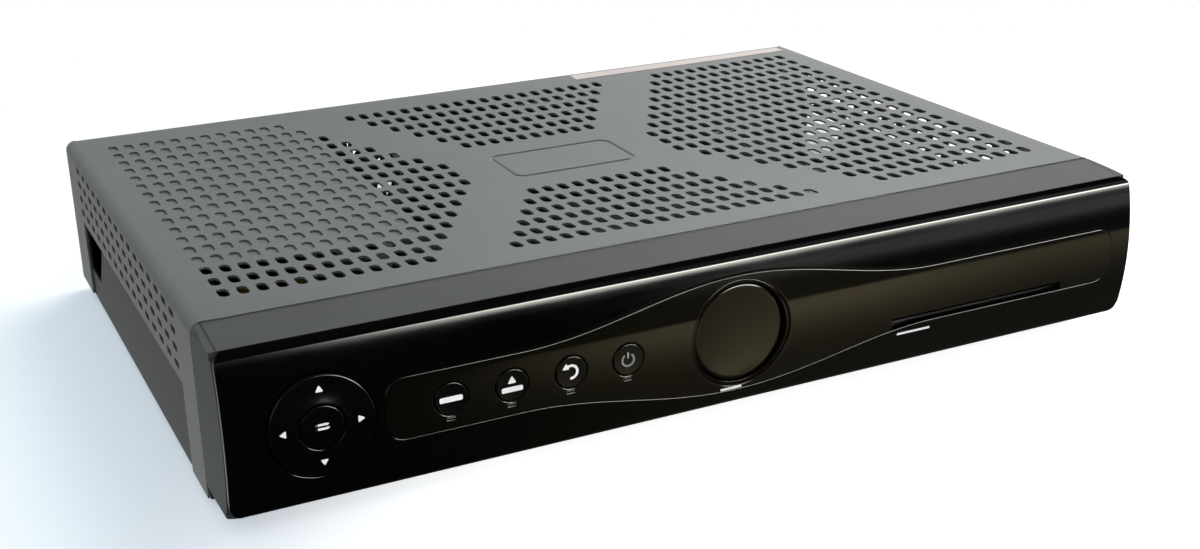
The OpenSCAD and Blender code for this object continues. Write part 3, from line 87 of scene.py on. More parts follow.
class Sheet:
    """A material's or a group's nodes, with short calls to add and join them."""

    def __init__(self, tree):
        self.tree = tree

    def add(self, kind, settings=None, **values):
        """Adds a node; a value is a constant or another node's output, named with _ for a space."""
        made = self.tree.nodes.new(kind)
        for name, value in (settings or {}).items():
            setattr(made, name, value)
        for name, value in values.items():
            key = int(name[1:]) if name[1:].isdigit() else name.replace("_", " ")
            self.put(made.inputs[key], value)
        return made

    def put(self, socket, value):
        """Gives a socket a constant or joins it to an output."""
        if isinstance(value, bpy.types.NodeSocket):
            self.tree.links.new(value, socket)
        else:
            socket.default_value = value

    def maths(self, operation, a, b=0.0, c=0.0, clamp=False):
        """One arithmetic step."""
        settings = {"operation": operation, "use_clamp": clamp}
        return self.add("ShaderNodeMath", settings, _0=a, _1=b, _2=c).outputs[0]

    def times(self, first, *others):
        """A product."""
        for other in others:
            first = self.maths("MULTIPLY", first, other)
        return first

    def vector(self, operation, a, b=(0.0, 0.0, 0.0), **values):
        """One step with vectors."""
        made = self.add("ShaderNodeVectorMath", {"operation": operation}, _0=a, _1=b, **values)
        return made.outputs["Value" if operation in ("LENGTH", "DISTANCE", "DOT_PRODUCT") else "Vector"]

    def ramp(self, value, low, high, to_low=0.0, to_high=1.0):
        """Smooth step of value between low and high."""
        return self.add(
            "ShaderNodeMapRange", {"interpolation_type": "SMOOTHSTEP"}, Value=value,
            From_Min=low, From_Max=high, To_Min=to_low, To_Max=to_high,
        ).outputs[0]

    def mix(self, factor, a, b):
        """Blend of two colours."""
        return self.add("ShaderNodeMix", {"data_type": "RGBA"}, _0=factor, _6=a, _7=b).outputs[2]

    def blend(self, factor, a, b):
        """Blend of two shaders."""
        return self.add("ShaderNodeMixShader", _0=factor, _1=a, _2=b).outputs[0]

    def glow(self, colour, strength=1.0, kind="ShaderNodeEmission"):
        """A shader that gives light."""
        return self.add(kind, Color=colour, Strength=strength).outputs[0]

    def place(self):
        """Object coordinates, in metres."""
        return self.add("ShaderNodeTexCoord").outputs["Object"]

    def axes(self, vector=None):
        """X, Y and Z of a vector, or else of the object coordinates."""
        return self.add("ShaderNodeSeparateXYZ", Vector=self.place() if vector is None else vector).outputs

    def facing(self):
        """X, Y and Z of the surface's normal."""
        return self.axes(self.add("ShaderNodeNewGeometry").outputs["Normal"])

    def noise(self, vector, scale, detail=3.0, rough=0.5):
        """Noise from 0 to 1, scale in waves a metre."""
        return self.add("ShaderNodeTexNoise", Vector=vector, Scale=scale, Detail=detail, Roughness=rough).outputs[0]

    def effect(self, group, **values):
        """A shader group with this material's own values."""
        return self.add("ShaderNodeGroup", {"node_tree": group.tree}, **values)

    def tint(self, mask, colour):
        """Lays a colour over the material's own where mask is 1, under the dust."""
        socket = self.dusted.inputs["Colour"]
        own = socket.links[0].from_socket if socket.links else tuple(socket.default_value)
        self.put(socket, self.mix(mask, own, (*colour, 1.0)))


# World: a cool, even light. Mirrors see a white room behind the object, a dark one overhead and
# in front that opens to the right, and low in front one long bright window, which the rolled
# edges show as a line.
white, black = (1.0, 1.0, 1.0, 1.0), (0.0, 0.0, 0.0, 1.0)
world = bpy.data.worlds.new("room")
bpy.context.scene.world = world
world.use_nodes = True
world.node_tree.nodes.clear()
room = Sheet(world.node_tree)
x, y, z = room.axes(room.add("ShaderNodeTexCoord").outputs["Generated"])
wall = room.times(
    room.ramp(room.maths("MULTIPLY_ADD", x, -0.5, y), -0.18, 0.28), room.ramp(x, 0.22, 0.55, 1.15, 2.4),
    room.ramp(z, 0.24, 0.34, 0.62, 1.0), room.ramp(z, 0.50, 0.80, 1.0, 0.10),
)
open_side = room.times(room.ramp(y, -0.35, 0.0, 1.0, 0.0), room.ramp(x, 0.28, 0.66, 0.0, 0.5))
window = room.times(
    room.ramp(z, 0.02, 0.08), room.ramp(z, 0.19, 0.29, 1.0, 0.0), room.ramp(x, 0.20, 0.42, 0.4, 32.0),
    room.ramp(x, 0.70, 0.78, 1.0, 0.0), room.maths("LESS_THAN", y, 0.0),
)
mirrored = room.maths("ADD", room.maths("ADD", wall, open_side), window)
tone = room.mix(room.ramp(mirrored, 1.0, 4.0), (0.90, 0.96, 0.98, 1.0), (1.0, 0.985, 0.90, 1.0))
path = room.add("ShaderNodeLightPath").outputs
background = "ShaderNodeBackground"
even = room.glow((0.87, 0.94, 0.98, 1.0), 0.42, background)
shown = room.blend(path["Is Glossy Ray"], even, room.glow(tone, mirrored, background))
seen = room.maths("MAXIMUM", path["Is Camera Ray"], path["Is Transmission Ray"])
room.add("ShaderNodeOutputWorld", Surface=room.blend(seen, shown, room.glow(white, 1.0, background)))


def material(name, metallic=0.0, rough=0.5, **constants):
    """A Principled material and the sheet of its nodes; constants go straight on its sockets."""
    made = bpy.data.materials.new(name)
    made.use_nodes = True
    made.node_tree.nodes.clear()
    sheet = Sheet(made.node_tree)
    sheet.made = made
    sheet.shader = sheet.add("ShaderNodeBsdfPrincipled", Metallic=metallic, Roughness=rough, **constants)
    sheet.output = sheet.add("ShaderNodeOutputMaterial", Surface=sheet.shader.outputs[0])
    return sheet


# Floor: a white sheet under the case, which keeps the shadow near it and is plain white further
# out. The camera sees it with a painted glow, more to the right, and a painted shadow behind the
# case, to keep the vents dark. Mirrors see a painted reflection: a brown strip of it in front and
# then dark, fading to the left.
floor_half = 6.0
floor_mesh = bpy.data.meshes.new("floor")
floor_corners = [(sx * floor_half, sy * floor_half, 0) for sx, sy in ((-1, -1), (1, -1), (1, 1), (-1, 1))]
floor_mesh.from_pydata(floor_corners, [], [(0, 1, 2, 3)])
floor = bpy.data.objects.new("floor", floor_mesh)
bpy.context.scene.collection.objects.link(floor)
paper = material("paper", rough=0.9, Base_Color=(0.86, 0.87, 0.88, 1.0), Specular_IOR_Level=0.1)
x, y, _ = paper.axes()
rightwards = paper.maths("MULTIPLY_ADD", y, -0.5, x)
opening = paper.maths("MULTIPLY_ADD", y, 0.5, x)
# What mirrors see: a painted reflection
strip = paper.times(
    paper.ramp(y, -0.285, -0.270), paper.ramp(y, -0.26, -0.15, 1.0, 0.08), paper.ramp(opening, -0.02, 0.12, 1.1, 0.6),
)
fading = paper.ramp(opening, -0.21, -0.05)
in_front = paper.vector("SCALE", paper.mix(strip, black, (1.0, 0.85, 0.50, 1.0)), Scale=fading)
beyond_it = paper.times(paper.ramp(y, -0.9, -0.4, 0.7, 0.05), paper.ramp(opening, -0.2, 0.2))
in_front = paper.vector("ADD", in_front, paper.mix(beyond_it, black, white))
rear_part = paper.mix(paper.ramp(x, -0.30, 0.0, 0.45, 1.0), black, white)
reflected = paper.glow(paper.mix(paper.ramp(y, -0.13, -0.10), in_front, rear_part))
# What the camera sees: a painted glow beside the case, plain white far off, and a painted shadow behind it
case_half, case_middle, case_reach = 0.180, 0.014, 0.113
beside = paper.maths(
    "MAXIMUM", paper.maths("ABSOLUTE", paper.maths("DIVIDE", x, case_half)),
    paper.maths("ABSOLUTE", paper.maths("DIVIDE", paper.maths("SUBTRACT", y, case_middle), case_reach)),
)
# painted light: the glow is weaker and cooler to the left, where the shadow falls
cool = paper.mix(paper.ramp(rightwards, -0.20, -0.02), (0.80, 0.93, 1.06, 1.0), white)
lift = paper.glow(cool, paper.times(paper.ramp(rightwards, -0.16, -0.02, 0.42, 0.90), paper.ramp(beside, 0.97, 1.0)))
lifted = paper.add("ShaderNodeAddShader", _0=paper.shader.outputs[0], _1=lift).outputs[0]
distance = paper.vector("LENGTH", paper.vector("MULTIPLY", paper.place(), (1.0, 1.3, 1.0)))
pale = paper.blend(paper.ramp(distance, 0.26, 0.62), lifted, paper.glow(white))
outside = paper.vector("SUBTRACT", paper.vector("ABSOLUTE", paper.place()), (0.182, 0.131, 0.0))
apart = paper.vector("LENGTH", paper.vector("MAXIMUM", outside))
shade = paper.times(paper.ramp(x, -0.17, 0.02), paper.ramp(y, -0.02, 0.10), paper.ramp(apart, 0.0, 0.17, 0.85, 0.0))
pale = paper.blend(shade, pale, paper.glow((0.10, 0.105, 0.11, 1.0)))
path = paper.add("ShaderNodeLightPath").outputs
seen = paper.maths("MAXIMUM", path["Is Camera Ray"], path["Is Transmission Ray"])
surface = paper.blend(seen, paper.shader.outputs[0], pale)
paper.put(paper.output.inputs["Surface"], paper.blend(path["Is Glossy Ray"], surface, reflected))
floor_mesh.materials.append(paper.made)

# Tray: one folded sheet of 0.8 mm steel, sprayed a dark grey, with formed posts for the boards,
# pressed vents and a gap at the rear of each side wall. It stays the frame's own solid.


def group(name, inputs, outputs):
    """A shader group. Inputs map each socket's name to its first value, outputs to its kind."""
    tree = bpy.data.node_groups.new(name, "ShaderNodeTree")
    for label, first in inputs.items():
        kind = {3: "Vector", 4: "Color"}[len(first)] if isinstance(first, tuple) else "Float"
        socket = tree.interface.new_socket(label, in_out="INPUT", socket_type="NodeSocket" + kind)
        socket.default_value = first
    for label, kind in outputs.items():
        tree.interface.new_socket(label, in_out="OUTPUT", socket_type="NodeSocket" + kind)
    sheet = Sheet(tree)
    sheet.given = sheet.add("NodeGroupInput").outputs
    sheet.result = sheet.add("NodeGroupOutput").inputs
    return sheet


# Grain of a moulded, painted or rolled surface: slow drift of the colour, and fine waves
plain_colour = (0.5, 0.5, 0.5, 1.0)
grain = group("grain", {
    "Colour": plain_colour, "Drift": 0.08, "Grain Size": 0.5 * mm, "Grain Depth": 0.03 * mm, "Stretch": (1.0, 1.0, 1.0),
}, {"Colour": "Color", "Normal": "Vector", "Fine": "Float"})
given, where = grain.given, grain.place()
drawn = grain.vector("MULTIPLY", where, given["Stretch"])
fine = grain.noise(drawn, grain.maths("DIVIDE", 1.0, given["Grain Size"]), 3.0, 0.6)
both = grain.maths("MULTIPLY_ADD", fine, 0.5, grain.noise(where, 35.0, 2.0))
lighter = grain.maths("MULTIPLY_ADD", grain.ramp(both, 0.45, 1.05, -1.0, 1.0), given["Drift"], 1.0)
grain.put(grain.result["Colour"], grain.vector("SCALE", given["Colour"], Scale=lighter))
bump = grain.add("ShaderNodeBump", Strength=0.6, Distance=given["Grain Depth"], Height=fine)
grain.put(grain.result["Normal"], bump.outputs[0])
grain.put(grain.result["Fine"], fine)

# Dust: pale specks and patches, most of it on what faces up
dust = group("dust", {
    "Colour": plain_colour, "Dust Colour": (0.33, 0.33, 0.31, 1.0), "Amount": 0.2, "Patch Size": 45 * mm,
}, {"Colour": "Color", "Mask": "Float"})
given, where = dust.given, dust.place()
lying = dust.ramp(dust.facing()["Z"], 0.1, 0.9, 0.25, 1.0)
patch = dust.ramp(dust.noise(where, dust.maths("DIVIDE", 1.0, given["Patch Size"]), 3.0), 0.38, 0.75)
speck = dust.ramp(dust.noise(where, 900.0, 4.0, 0.7), 0.52, 0.74)
film = dust.times(dust.maths("MULTIPLY_ADD", speck, 0.8, 0.2), dust.maths("MULTIPLY_ADD", patch, 0.8, 0.2))
mask = dust.maths("MULTIPLY", dust.times(film, lying), given["Amount"], clamp=True)
dust.put(dust.result["Colour"], dust.mix(mask, given["Colour"], given["Dust Colour"]))
dust.put(dust.result["Mask"], mask)

# Edge wear: where a rounded normal leaves the true one, broken up by noise
wear = group("edge_wear", {"Width": 0.4 * mm, "Amount": 0.5, "Patch Size": 8 * mm}, {"Mask": "Float"})
given = wear.given
rounded = wear.add("ShaderNodeBevel", {"samples": 6}, Radius=given["Width"]).outputs[0]
same = wear.vector("DOT_PRODUCT", rounded, wear.add("ShaderNodeNewGeometry").outputs["Normal"])
rubbed = wear.noise(wear.place(), wear.maths("DIVIDE", 1.0, given["Patch Size"]), 4.0, 0.6)
edge = wear.times(wear.ramp(same, 0.97, 0.80), wear.ramp(rubbed, 0.30, 0.62))
wear.put(wear.result["Mask"], wear.maths("MULTIPLY", edge, given["Amount"], clamp=True))


def coated(name, colour, rough=0.5, metallic=0.0, drift=0.08, size=0.5, depth=0.03, stretch=(1.0, 1.0, 1.0),
           dusty=0.15, worn=0.0, bare=(0.45, 0.45, 0.43), worn_width=0.4, **constants):
    """A material from the shared groups: grain (size and depth in mm), worn edges, then dust."""
    sheet = material(name, metallic=metallic, rough=rough, **constants)
    base = sheet.effect(
        grain, Colour=(*colour, 1.0), Drift=drift, Grain_Size=size * mm, Grain_Depth=depth * mm, Stretch=stretch,
    )
    shade = base.outputs["Colour"]
    if worn:
        edges = sheet.effect(wear, Width=worn_width * mm, Amount=worn)
        shade = sheet.mix(edges.outputs["Mask"], shade, (*bare, 1.0))
    sheet.dusted = sheet.effect(dust, Colour=shade, Amount=dusty)
    sheet.put(sheet.shader.inputs["Base Color"], sheet.dusted.outputs["Colour"])
    uneven = sheet.maths("MULTIPLY_ADD", base.outputs["Fine"], 0.10, rough - 0.05)
    duller = sheet.maths("MULTIPLY_ADD", sheet.dusted.outputs["Mask"], 0.4, uneven, clamp=True)
    sheet.put(sheet.shader.inputs["Roughness"], duller)
    sheet.put(sheet.shader.inputs["Normal"], base.outputs["Normal"])
    return sheet


def paint(sheet, *names):
    """Gives CAD nodes a material."""
    for name in names:
        nodes[name].material_slots[0].material = sheet.made


paint(coated("tray_paint", (0.026, 0.033, 0.032), dusty=0.25, worn=0.45, bare=(0.30, 0.31, 0.30),
             Specular_IOR_Level=0.25), "base_tray", "rear_panel")

# Feet: four black rubber feet with a fine moulded grain. Each is pressed into a hole of the tray
# and carries the case clear of what it stands on.
paint(coated("foot_rubber", (0.018, 0.018, 0.017), rough=0.85, drift=0.15, size=0.3, depth=0.06, dusty=0.4),
      "rubber_feet")

# Circuit boards: glass-fibre boards with a green lacquer, and a tan paper one for the power
# supply. Tracks run in both directions under the lacquer, with rows of tinned holes.
tracks = group("tracks", {
    "Place": (0.0, 0.0, 0.0), "Board": (0.02, 0.1, 0.04, 1.0), "Track": (0.05, 0.2, 0.08, 1.0), "Pitch": 1.2 * mm,
}, {"Colour": "Color", "Height": "Float", "Tinned": "Float"})
given = tracks.given
scaled = tracks.vector("SCALE", given["Place"], Scale=tracks.maths("DIVIDE", 1.0, given["Pitch"]))
x, y, _ = tracks.axes(scaled)
areas = tracks.add("ShaderNodeTexVoronoi", {"distance": "CHEBYCHEV"}, Vector=scaled, Scale=0.11)
choice = tracks.add("ShaderNodeSeparateColor", Color=areas.outputs["Color"]).outputs
crosswise = tracks.maths("GREATER_THAN", choice[0], 0.5)
along = tracks.add("ShaderNodeMix", {"data_type": "FLOAT"}, _0=crosswise, _2=x, _3=y)
wave = tracks.maths("ABSOLUTE", tracks.maths("SUBTRACT", tracks.maths("FRACT", along.outputs[0]), 0.5))
flood = tracks.maths("GREATER_THAN", choice[1], 0.72)
copper = tracks.maths("MAXIMUM", tracks.ramp(wave, 0.16, 0.22, 1.0, 0.0), flood)
holes = tracks.add("ShaderNodeTexVoronoi", Vector=scaled, Scale=0.42, Randomness=0.75)
dots = tracks.ramp(holes.outputs["Distance"], 0.16, 0.20, 1.0, 0.0)
lacquered = tracks.mix(copper, given["Board"], given["Track"])
tracks.put(tracks.result["Colour"], tracks.mix(dots, lacquered, (0.55, 0.55, 0.50, 1.0)))
tracks.put(tracks.result["Height"], tracks.maths("MAXIMUM", copper, dots))
tracks.put(tracks.result["Tinned"], dots)


def board(name, base, track, upright=False):
    """A board's material: the tracks under gloss lacquer, then dust. An upright board's tracks
    are laid by X and Z."""
    sheet = material(name, rough=0.35)
    place = sheet.place()
    if upright:
        place = sheet.add("ShaderNodeMapping", Vector=place, Rotation=(np.pi / 2, 0.0, 0.0)).outputs[0]
    drawn = sheet.effect(tracks, Place=place, Board=(*base, 1.0), Track=(*track, 1.0)).outputs
    sheet.dusted = sheet.effect(dust, Colour=drawn["Colour"], Amount=0.3)
    sheet.put(sheet.shader.inputs["Base Color"], sheet.dusted.outputs["Colour"])
    sheet.put(sheet.shader.inputs["Metallic"], drawn["Tinned"])
    bump = sheet.add("ShaderNodeBump", Strength=0.5, Distance=0.05 * mm, Height=drawn["Height"])
    sheet.put(sheet.shader.inputs["Normal"], bump.outputs[0])
    return sheet


green = (0.010, 0.045, 0.022), (0.022, 0.085, 0.040)
paint(board("green_board", *green), "main_board")
paint(board("green_front_board", *green, upright=True), "front_board")
paint(board("tan_board", (0.17, 0.11, 0.045), (0.23, 0.15, 0.07)), "power_board")

# Chips, switches and the infrared eye: black moulded resin with a fine grain. The chips are
# soldered flat on the main board, the others on the front board.
paint(coated("chip_resin", (0.018, 0.018, 0.020), rough=0.6, size=0.25, depth=0.02, dusty=0.3),
      "main_chips", "key_switches", "infrared_receiver")

# Capacitors: aluminium cans in dark blue shrunk sleeves, which leave the scored tops bare. They
# stand on their two wires, soldered through the boards.


def two_part(name, first, second, chosen, metal=0.0, **values):
    """A coated material with a second colour where chosen(sheet) is 1, and metallic there."""
    sheet = coated(name, first, **values)
    mask = chosen(sheet)
    sheet.tint(mask, second)
    if metal:
        sheet.put(sheet.shader.inputs["Metallic"], sheet.times(mask, metal))
    return sheet


def facing_up(sheet):
    """A chooser for what faces up."""
    return sheet.ramp(sheet.facing()["Z"], 0.85, 0.95)


paint(two_part("capacitor_sleeve", (0.015, 0.030, 0.075), (0.22, 0.22, 0.22), facing_up, metal=0.9, rough=0.45,
               size=0.4, dusty=0.25), "board_capacitors", "power_capacitors")

# Transformer: dark ferrite round a winding in yellow tape. Filter: a wound choke and a yellow
# box of plastic film, with the fuse between them.


def beyond(middle, reach):
    """A chooser for what lies further than reach from middle along the depth, in metres."""
    def chosen(sheet):
        away = sheet.maths("ABSOLUTE", sheet.maths("SUBTRACT", sheet.axes()["Y"], middle))
        return sheet.maths("GREATER_THAN", away, reach)
    return chosen


low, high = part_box("power_transformer")
winding = beyond((low.y + high.y) / 2, 15.1 * mm)
paint(two_part("ferrite_and_tape", (0.030, 0.029, 0.030), (0.55, 0.38, 0.06), winding, rough=0.55, size=0.3,
               dusty=0.25), "power_transformer")
choke = beyond(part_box("mains_filter")[0].y, 18 * mm)
paint(two_part("choke_and_film", (0.42, 0.30, 0.05), (0.30, 0.12, 0.045), choke, rough=0.45, size=0.8, depth=0.1,
               stretch=(1, 0.15, 1), dusty=0.25), "mains_filter")

# Heatsinks: extruded aluminium with fine lines along the extrusion, cut to length and clipped
# on the processor and behind the power transistors. The aluminium is given a darker colour than
# bare metal, painted shade of the case's inside.
paint(coated("extruded_aluminium", (0.16, 0.165, 0.165), metallic=0.8, size=0.35, stretch=(1.0, 1.0, 0.05),
             dusty=0.25), "processor_heatsink", "power_heatsinks")

# Tuner boxes and the shells of the data sockets: folded tinned steel, still bright, soldered on
# the main board.
paint(coated("bright_metal", (0.34, 0.335, 0.32), rough=0.36, metallic=1.0, drift=0.12, size=1.2, depth=0.02,
             dusty=0.12, worn=0.2, bare=(0.45, 0.42, 0.36)),
      "tuner_cans", "hdmi_socket", "usb_socket", "network_socket")

# Screws inside: zinc-plated steel with cross recesses. They hold the boards on the tray's posts
# and the drive in its cradle.
paint(coated("plated_steel", (0.55, 0.54, 0.50), rough=0.32, metallic=1.0, size=0.3, depth=0.01, dusty=0.1),
      "board_screws", "drive_screws")

# Leads and plugs: ivory plugs, a grey ribbon of 1.27 mm cores over the drive, and ribbed red
# and black flat leads. The pad's cross joint and the lamps are of the same ivory plastic.
paint(coated("inner_plastic", (0.52, 0.50, 0.42), size=0.4, dusty=0.2),
      "board_connectors", "dpad_carrier", "dpad_gimbal", "indicator_leds")


def cored(name, colour, axis, pitch, node, **values):
    """Paints a flat lead: cores side by side along an axis, rounded ribs with dark lines between."""
    sheet = coated(name, colour, **values)
    share = sheet.maths("FRACT", sheet.maths("DIVIDE", sheet.axes()[axis], pitch * mm))
    rib = sheet.maths("SINE", sheet.times(share, np.pi))
    sheet.tint(sheet.ramp(rib, 0.0, 0.45, 0.45, 0.0), (0.02, 0.02, 0.02))
    bump = sheet.add("ShaderNodeBump", Strength=0.8, Distance=0.3 * mm, Height=rib)
    sheet.put(sheet.shader.inputs["Normal"], bump.outputs[0])
    paint(sheet, node)


cored("grey_ribbon", (0.34, 0.34, 0.33), "X", 1.27, "front_ribbon", rough=0.55, dusty=0.2)
cored("black_leads", (0.030, 0.030, 0.032), "Y", 2.0, "power_lead", dusty=0.2)
cored("red_leads", (0.28, 0.020, 0.018), "Y", 1.6, "drive_leads")
cored("fan_leads", (0.28, 0.020, 0.018), "X", 1.0, "fan_lead")

# Card reader: a black moulded frame behind the slot of the front, open at its mouth, with its
# contacts inside. It is soldered on the board.
paint(coated("reader_plastic", (0.012, 0.012, 0.013), size=0.4), "card_reader")

# Disc drive: a cast aluminium body under a pressed steel lid, in a zinc-coated steel cradle on
# rubber grommets. It is seen through the vents. The casting and the cradle are given darker
# colours than bare metal, painted shade of the case's inside.
paint(coated("drive_casting", (0.060, 0.062, 0.062), rough=0.55, metallic=0.4, drift=0.10, size=0.6, depth=0.04,
             dusty=0.3), "disc_drive")
zinc = coated("zinc_sheet", (0.16, 0.165, 0.16), metallic=0.6, drift=0.16, size=2.5, depth=0.02, dusty=0.25)
spangle = zinc.add("ShaderNodeTexVoronoi", Vector=zinc.place(), Scale=260.0).outputs["Color"]
patchy = zinc.ramp(zinc.add("ShaderNodeSeparateColor", Color=spangle).outputs[0], 0.0, 1.0, 0.42, 0.62)
zinc.put(zinc.shader.inputs["Roughness"], patchy)
paint(zinc, "drive_cradle")
paint(coated("grommet_rubber", (0.022, 0.022, 0.021), rough=0.85, size=0.3, depth=0.05, dusty=0.2), "drive_grommets")

# Fan: a black glass-filled frame screwed on the rear panel, and in it a rotor with cambered
# blades, moulded of the same plastic.
paint(coated("fan_plastic", (0.016, 0.016, 0.017), rough=0.48, size=0.3, depth=0.02, dusty=0.5),
      "fan_frame", "fan_rotor")

# Rear sockets: black moulded blocks for the scart, phono, optical, telephone and mains sockets,
# soldered on the boards and reaching through the rear panel. Contacts and pins are bright.
panel_back = 107.6 * mm
socket_z = 21.4
phono_x, phono_top_z = 87.5, 35.4


def around(x, places, near, far):
    """A chooser of what lies between two distances from lines along the depth at (x, z), in mm."""
    def chosen(sheet):
        spot = sheet.axes()
        flat = sheet.add("ShaderNodeCombineXYZ", X=spot["X"], Z=spot["Z"]).outputs[0]
        found = 0.0
        for dx, z in places:
            away = sheet.vector("DISTANCE", flat, ((x + dx) * mm, 0, z * mm))
            ring = sheet.times(sheet.maths("GREATER_THAN", away, near * mm), sheet.maths("LESS_THAN", away, far * mm))
            found = sheet.maths("MAXIMUM", found, ring)
        return sheet.times(found, sheet.maths("GREATER_THAN", spot["Y"], panel_back))
    return chosen


black_plastic = (0.014, 0.014, 0.015)
paint(coated("socket_plastic", black_plastic, rough=0.42, size=0.35, depth=0.02, dusty=0.2),
      "scart_sockets", "optical_socket", "phone_socket")
pins = around(-150.25, [(-4.3, socket_z), (4.3, socket_z)], -1, 1.25)
paint(two_part("mains_inlet_plastic", black_plastic, (0.62, 0.60, 0.52), pins, metal=1.0, rough=0.4, dusty=0.2),
      "mains_inlet")
rings = around(phono_x, [(0, socket_z), (0, phono_top_z)], 3.3, 4.3)
phono = two_part("phono_plastic", black_plastic, (0.70, 0.68, 0.62), rings, metal=1.0, rough=0.35)
for height, colour in ((socket_z, (0.60, 0.60, 0.58)), (phono_top_z, (0.35, 0.015, 0.012))):
    phono.tint(around(phono_x, [(0, height)], 1.75, 3.3)(phono), colour)
paint(phono, "phono_sockets")

# Dish and aerial sockets: nickel-plated brass, turned. A hexagon holds each dish socket on the
# panel, and its thread winds round as radius = 4.76 mm - 0.3 mm * zigzag(y / pitch - turn).


def turned(profile, count=48, at=(0.0, 0.0), thread=None, start=0.0):
    """A body turned about a line along the depth at (x, z): rows of (radius, y past start) in mm,
    from the front end's middle round to the rear end's. thread is (pitch, depth, from, to)."""
    rows = np.asarray(profile, float)
    turn = np.arange(count) / count * 2 * np.pi
    radius = np.repeat(rows[:, 0][:, None], count, 1)
    if thread:
        pitch, depth, first, last = thread
        wave = (rows[:, 1][:, None] / pitch - turn[None] / (2 * np.pi)) % 1
        cut = (rows[:, 1] > first) & (rows[:, 1] < last)
        radius = radius - depth * (1 - np.abs(2 * wave - 1)) * cut[:, None]
    y = np.repeat(rows[:, 1][:, None] + start, count, 1)
    places = np.stack([at[0] + radius * np.cos(turn), y, at[1] + radius * np.sin(turn)], -1)
    j, i = np.meshgrid(np.arange(len(rows) - 1), np.arange(count), indexing="ij")
    n = (i + 1) % count
    faces = np.stack([j * count + i, (j + 1) * count + i, (j + 1) * count + n, j * count + n], -1)
    return places.reshape(-1, 3) * mm, faces.reshape(-1, 4)


def joined(*parts):
    """Several (places, faces) as one."""
    points, faces, at = [], [], 0
    for places, cells in parts:
        points.append(places)
        faces.extend(np.asarray(cell) + at for cell in cells)
        at += len(places)
    return np.concatenate(points), faces


def exact_normals(mesh, true_normal, near=0.995):
    """Gives every corner of a face that lies along the true surface that surface's own normal."""
    def read(rows, label, wide, kind=np.float32):
        values = np.zeros(len(rows) * wide, kind)
        rows.foreach_get(label, values)
        return values.reshape(-1, wide)

    normals = read(mesh.corner_normals, "vector", 3)
    vertex = read(mesh.loops, "vertex_index", 1, np.int32)[:, 0]
    count = read(mesh.polygons, "loop_total", 1, np.int32)[:, 0]
    exact = true_normal(read(mesh.vertices, "co", 3)[vertex].astype(float))
    along = np.repeat(read(mesh.polygons, "normal", 3), count, axis=0)
    lies = (along * exact).sum(1) > near
    normals[lies] = exact[lies]
    mesh.normals_split_custom_set(normals.tolist())


def finished(name, shape, sheet, body, merge=1e-6, stands_for=(), true_normal=None):
    """One piece from arrays of corners and faces: doubles merged, smooth but for sharp edges,
    riding on its body. true_normal gives the exact normals of a curved face."""
    points, faces = shape
    mesh = bpy.data.meshes.new(name)
    mesh.from_pydata(np.asarray(points, float).tolist(), [], [np.asarray(face).tolist() for face in faces])
    work = bmesh.new()
    work.from_mesh(mesh)
    bmesh.ops.remove_doubles(work, verts=work.verts, dist=merge)
    bmesh.ops.dissolve_degenerate(work, edges=work.edges, dist=merge)
    work.to_mesh(mesh)
    work.free()
    mesh.shade_smooth()
    mesh.set_sharp_from_angle(angle=sharp_angle)
    if true_normal is not None:
        exact_normals(mesh, true_normal)
    mesh.materials.append(sheet.made)
    piece = bpy.data.objects.new(name, mesh)
    bpy.context.scene.collection.objects.link(piece)
    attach(piece, body)
    if stands_for:
        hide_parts(*stands_for)
    return piece


sharp_angle = np.radians(40)
nickel = coated("nickel_plate", (0.68, 0.66, 0.60), rough=0.24, metallic=1.0, drift=0.10, size=0.4, depth=0.01,
                dusty=0.12, worn=0.4, bare=(0.62, 0.48, 0.26))
thread_pitch, thread_depth = 0.794, 0.3
thread_rows = [(4.76, y) for y in np.arange(124.3, 131.5, thread_pitch / 6)]
nut_rows = [(0, 121.95), (5.7, 121.95), (6.2, 122.35), (6.2, 123.55), (5.7, 123.95), (0, 123.95)]
bead_rows = [(0, 131.0), (3.38, 131.0), (3.38, 131.25), (1.2, 131.3), (0.9, 131.2), (0.9, 131.12), (0, 131.12)]
shapes, insulators = [], []
for x in (-18, 2):
    at = (x, socket_z)
    shapes.append(turned([(0, 113.8), (3.3, 113.8), (3.5, 114.0), (3.5, 121.95), (0, 121.95)], at=at))
    shapes.append(turned(nut_rows, 6, at=at))
    barrel = [(0, 123.9), (4.5, 123.9), (4.5, 124.2)] + thread_rows
    barrel += [(4.5, 131.6), (4.3, 131.9), (3.5, 131.9), (3.4, 131.8), (3.4, 131.1), (0, 131.1)]
    shapes.append(turned(barrel, 48, at=at, thread=(thread_pitch, thread_depth, 124.25, 131.5)))
    insulators.append(turned(bead_rows, 32, at=at))
finished("threaded_sockets", joined(*shapes), nickel, "case", stands_for=["dish_sockets"])
shapes = []
for z, outer, inner, pin, hole in ((socket_z, 4.75, 4.1, 1.15, 0.3), (39.4, 4.1, 3.4, 1.9, 1.2)):
    shapes.append(turned([
        (0, 115.8), (3.9, 115.8), (3.9, 121.95), (5.8, 121.95), (6.0, 122.15), (6.0, 122.95), (5.8, 123.15),
        (outer, 123.15), (outer, 130.7), (outer - 0.2, 130.9), (inner + 0.1, 130.9), (inner, 130.7), (inner, 123.4),
        (pin, 123.4), (pin, 129.5), (pin - 0.3, 129.9), (hole + 0.05, 129.9), (hole, 129.7), (hole, 124.0), (0, 124.0),
    ], at=(20, z)))
finished("sleeved_sockets", joined(*shapes), nickel, "case", stands_for=["aerial_sockets"])
insulator = coated("white_insulator", (0.62, 0.61, 0.57), rough=0.45, size=0.3)
finished("dish_insulators", joined(*insulators), insulator, "case")

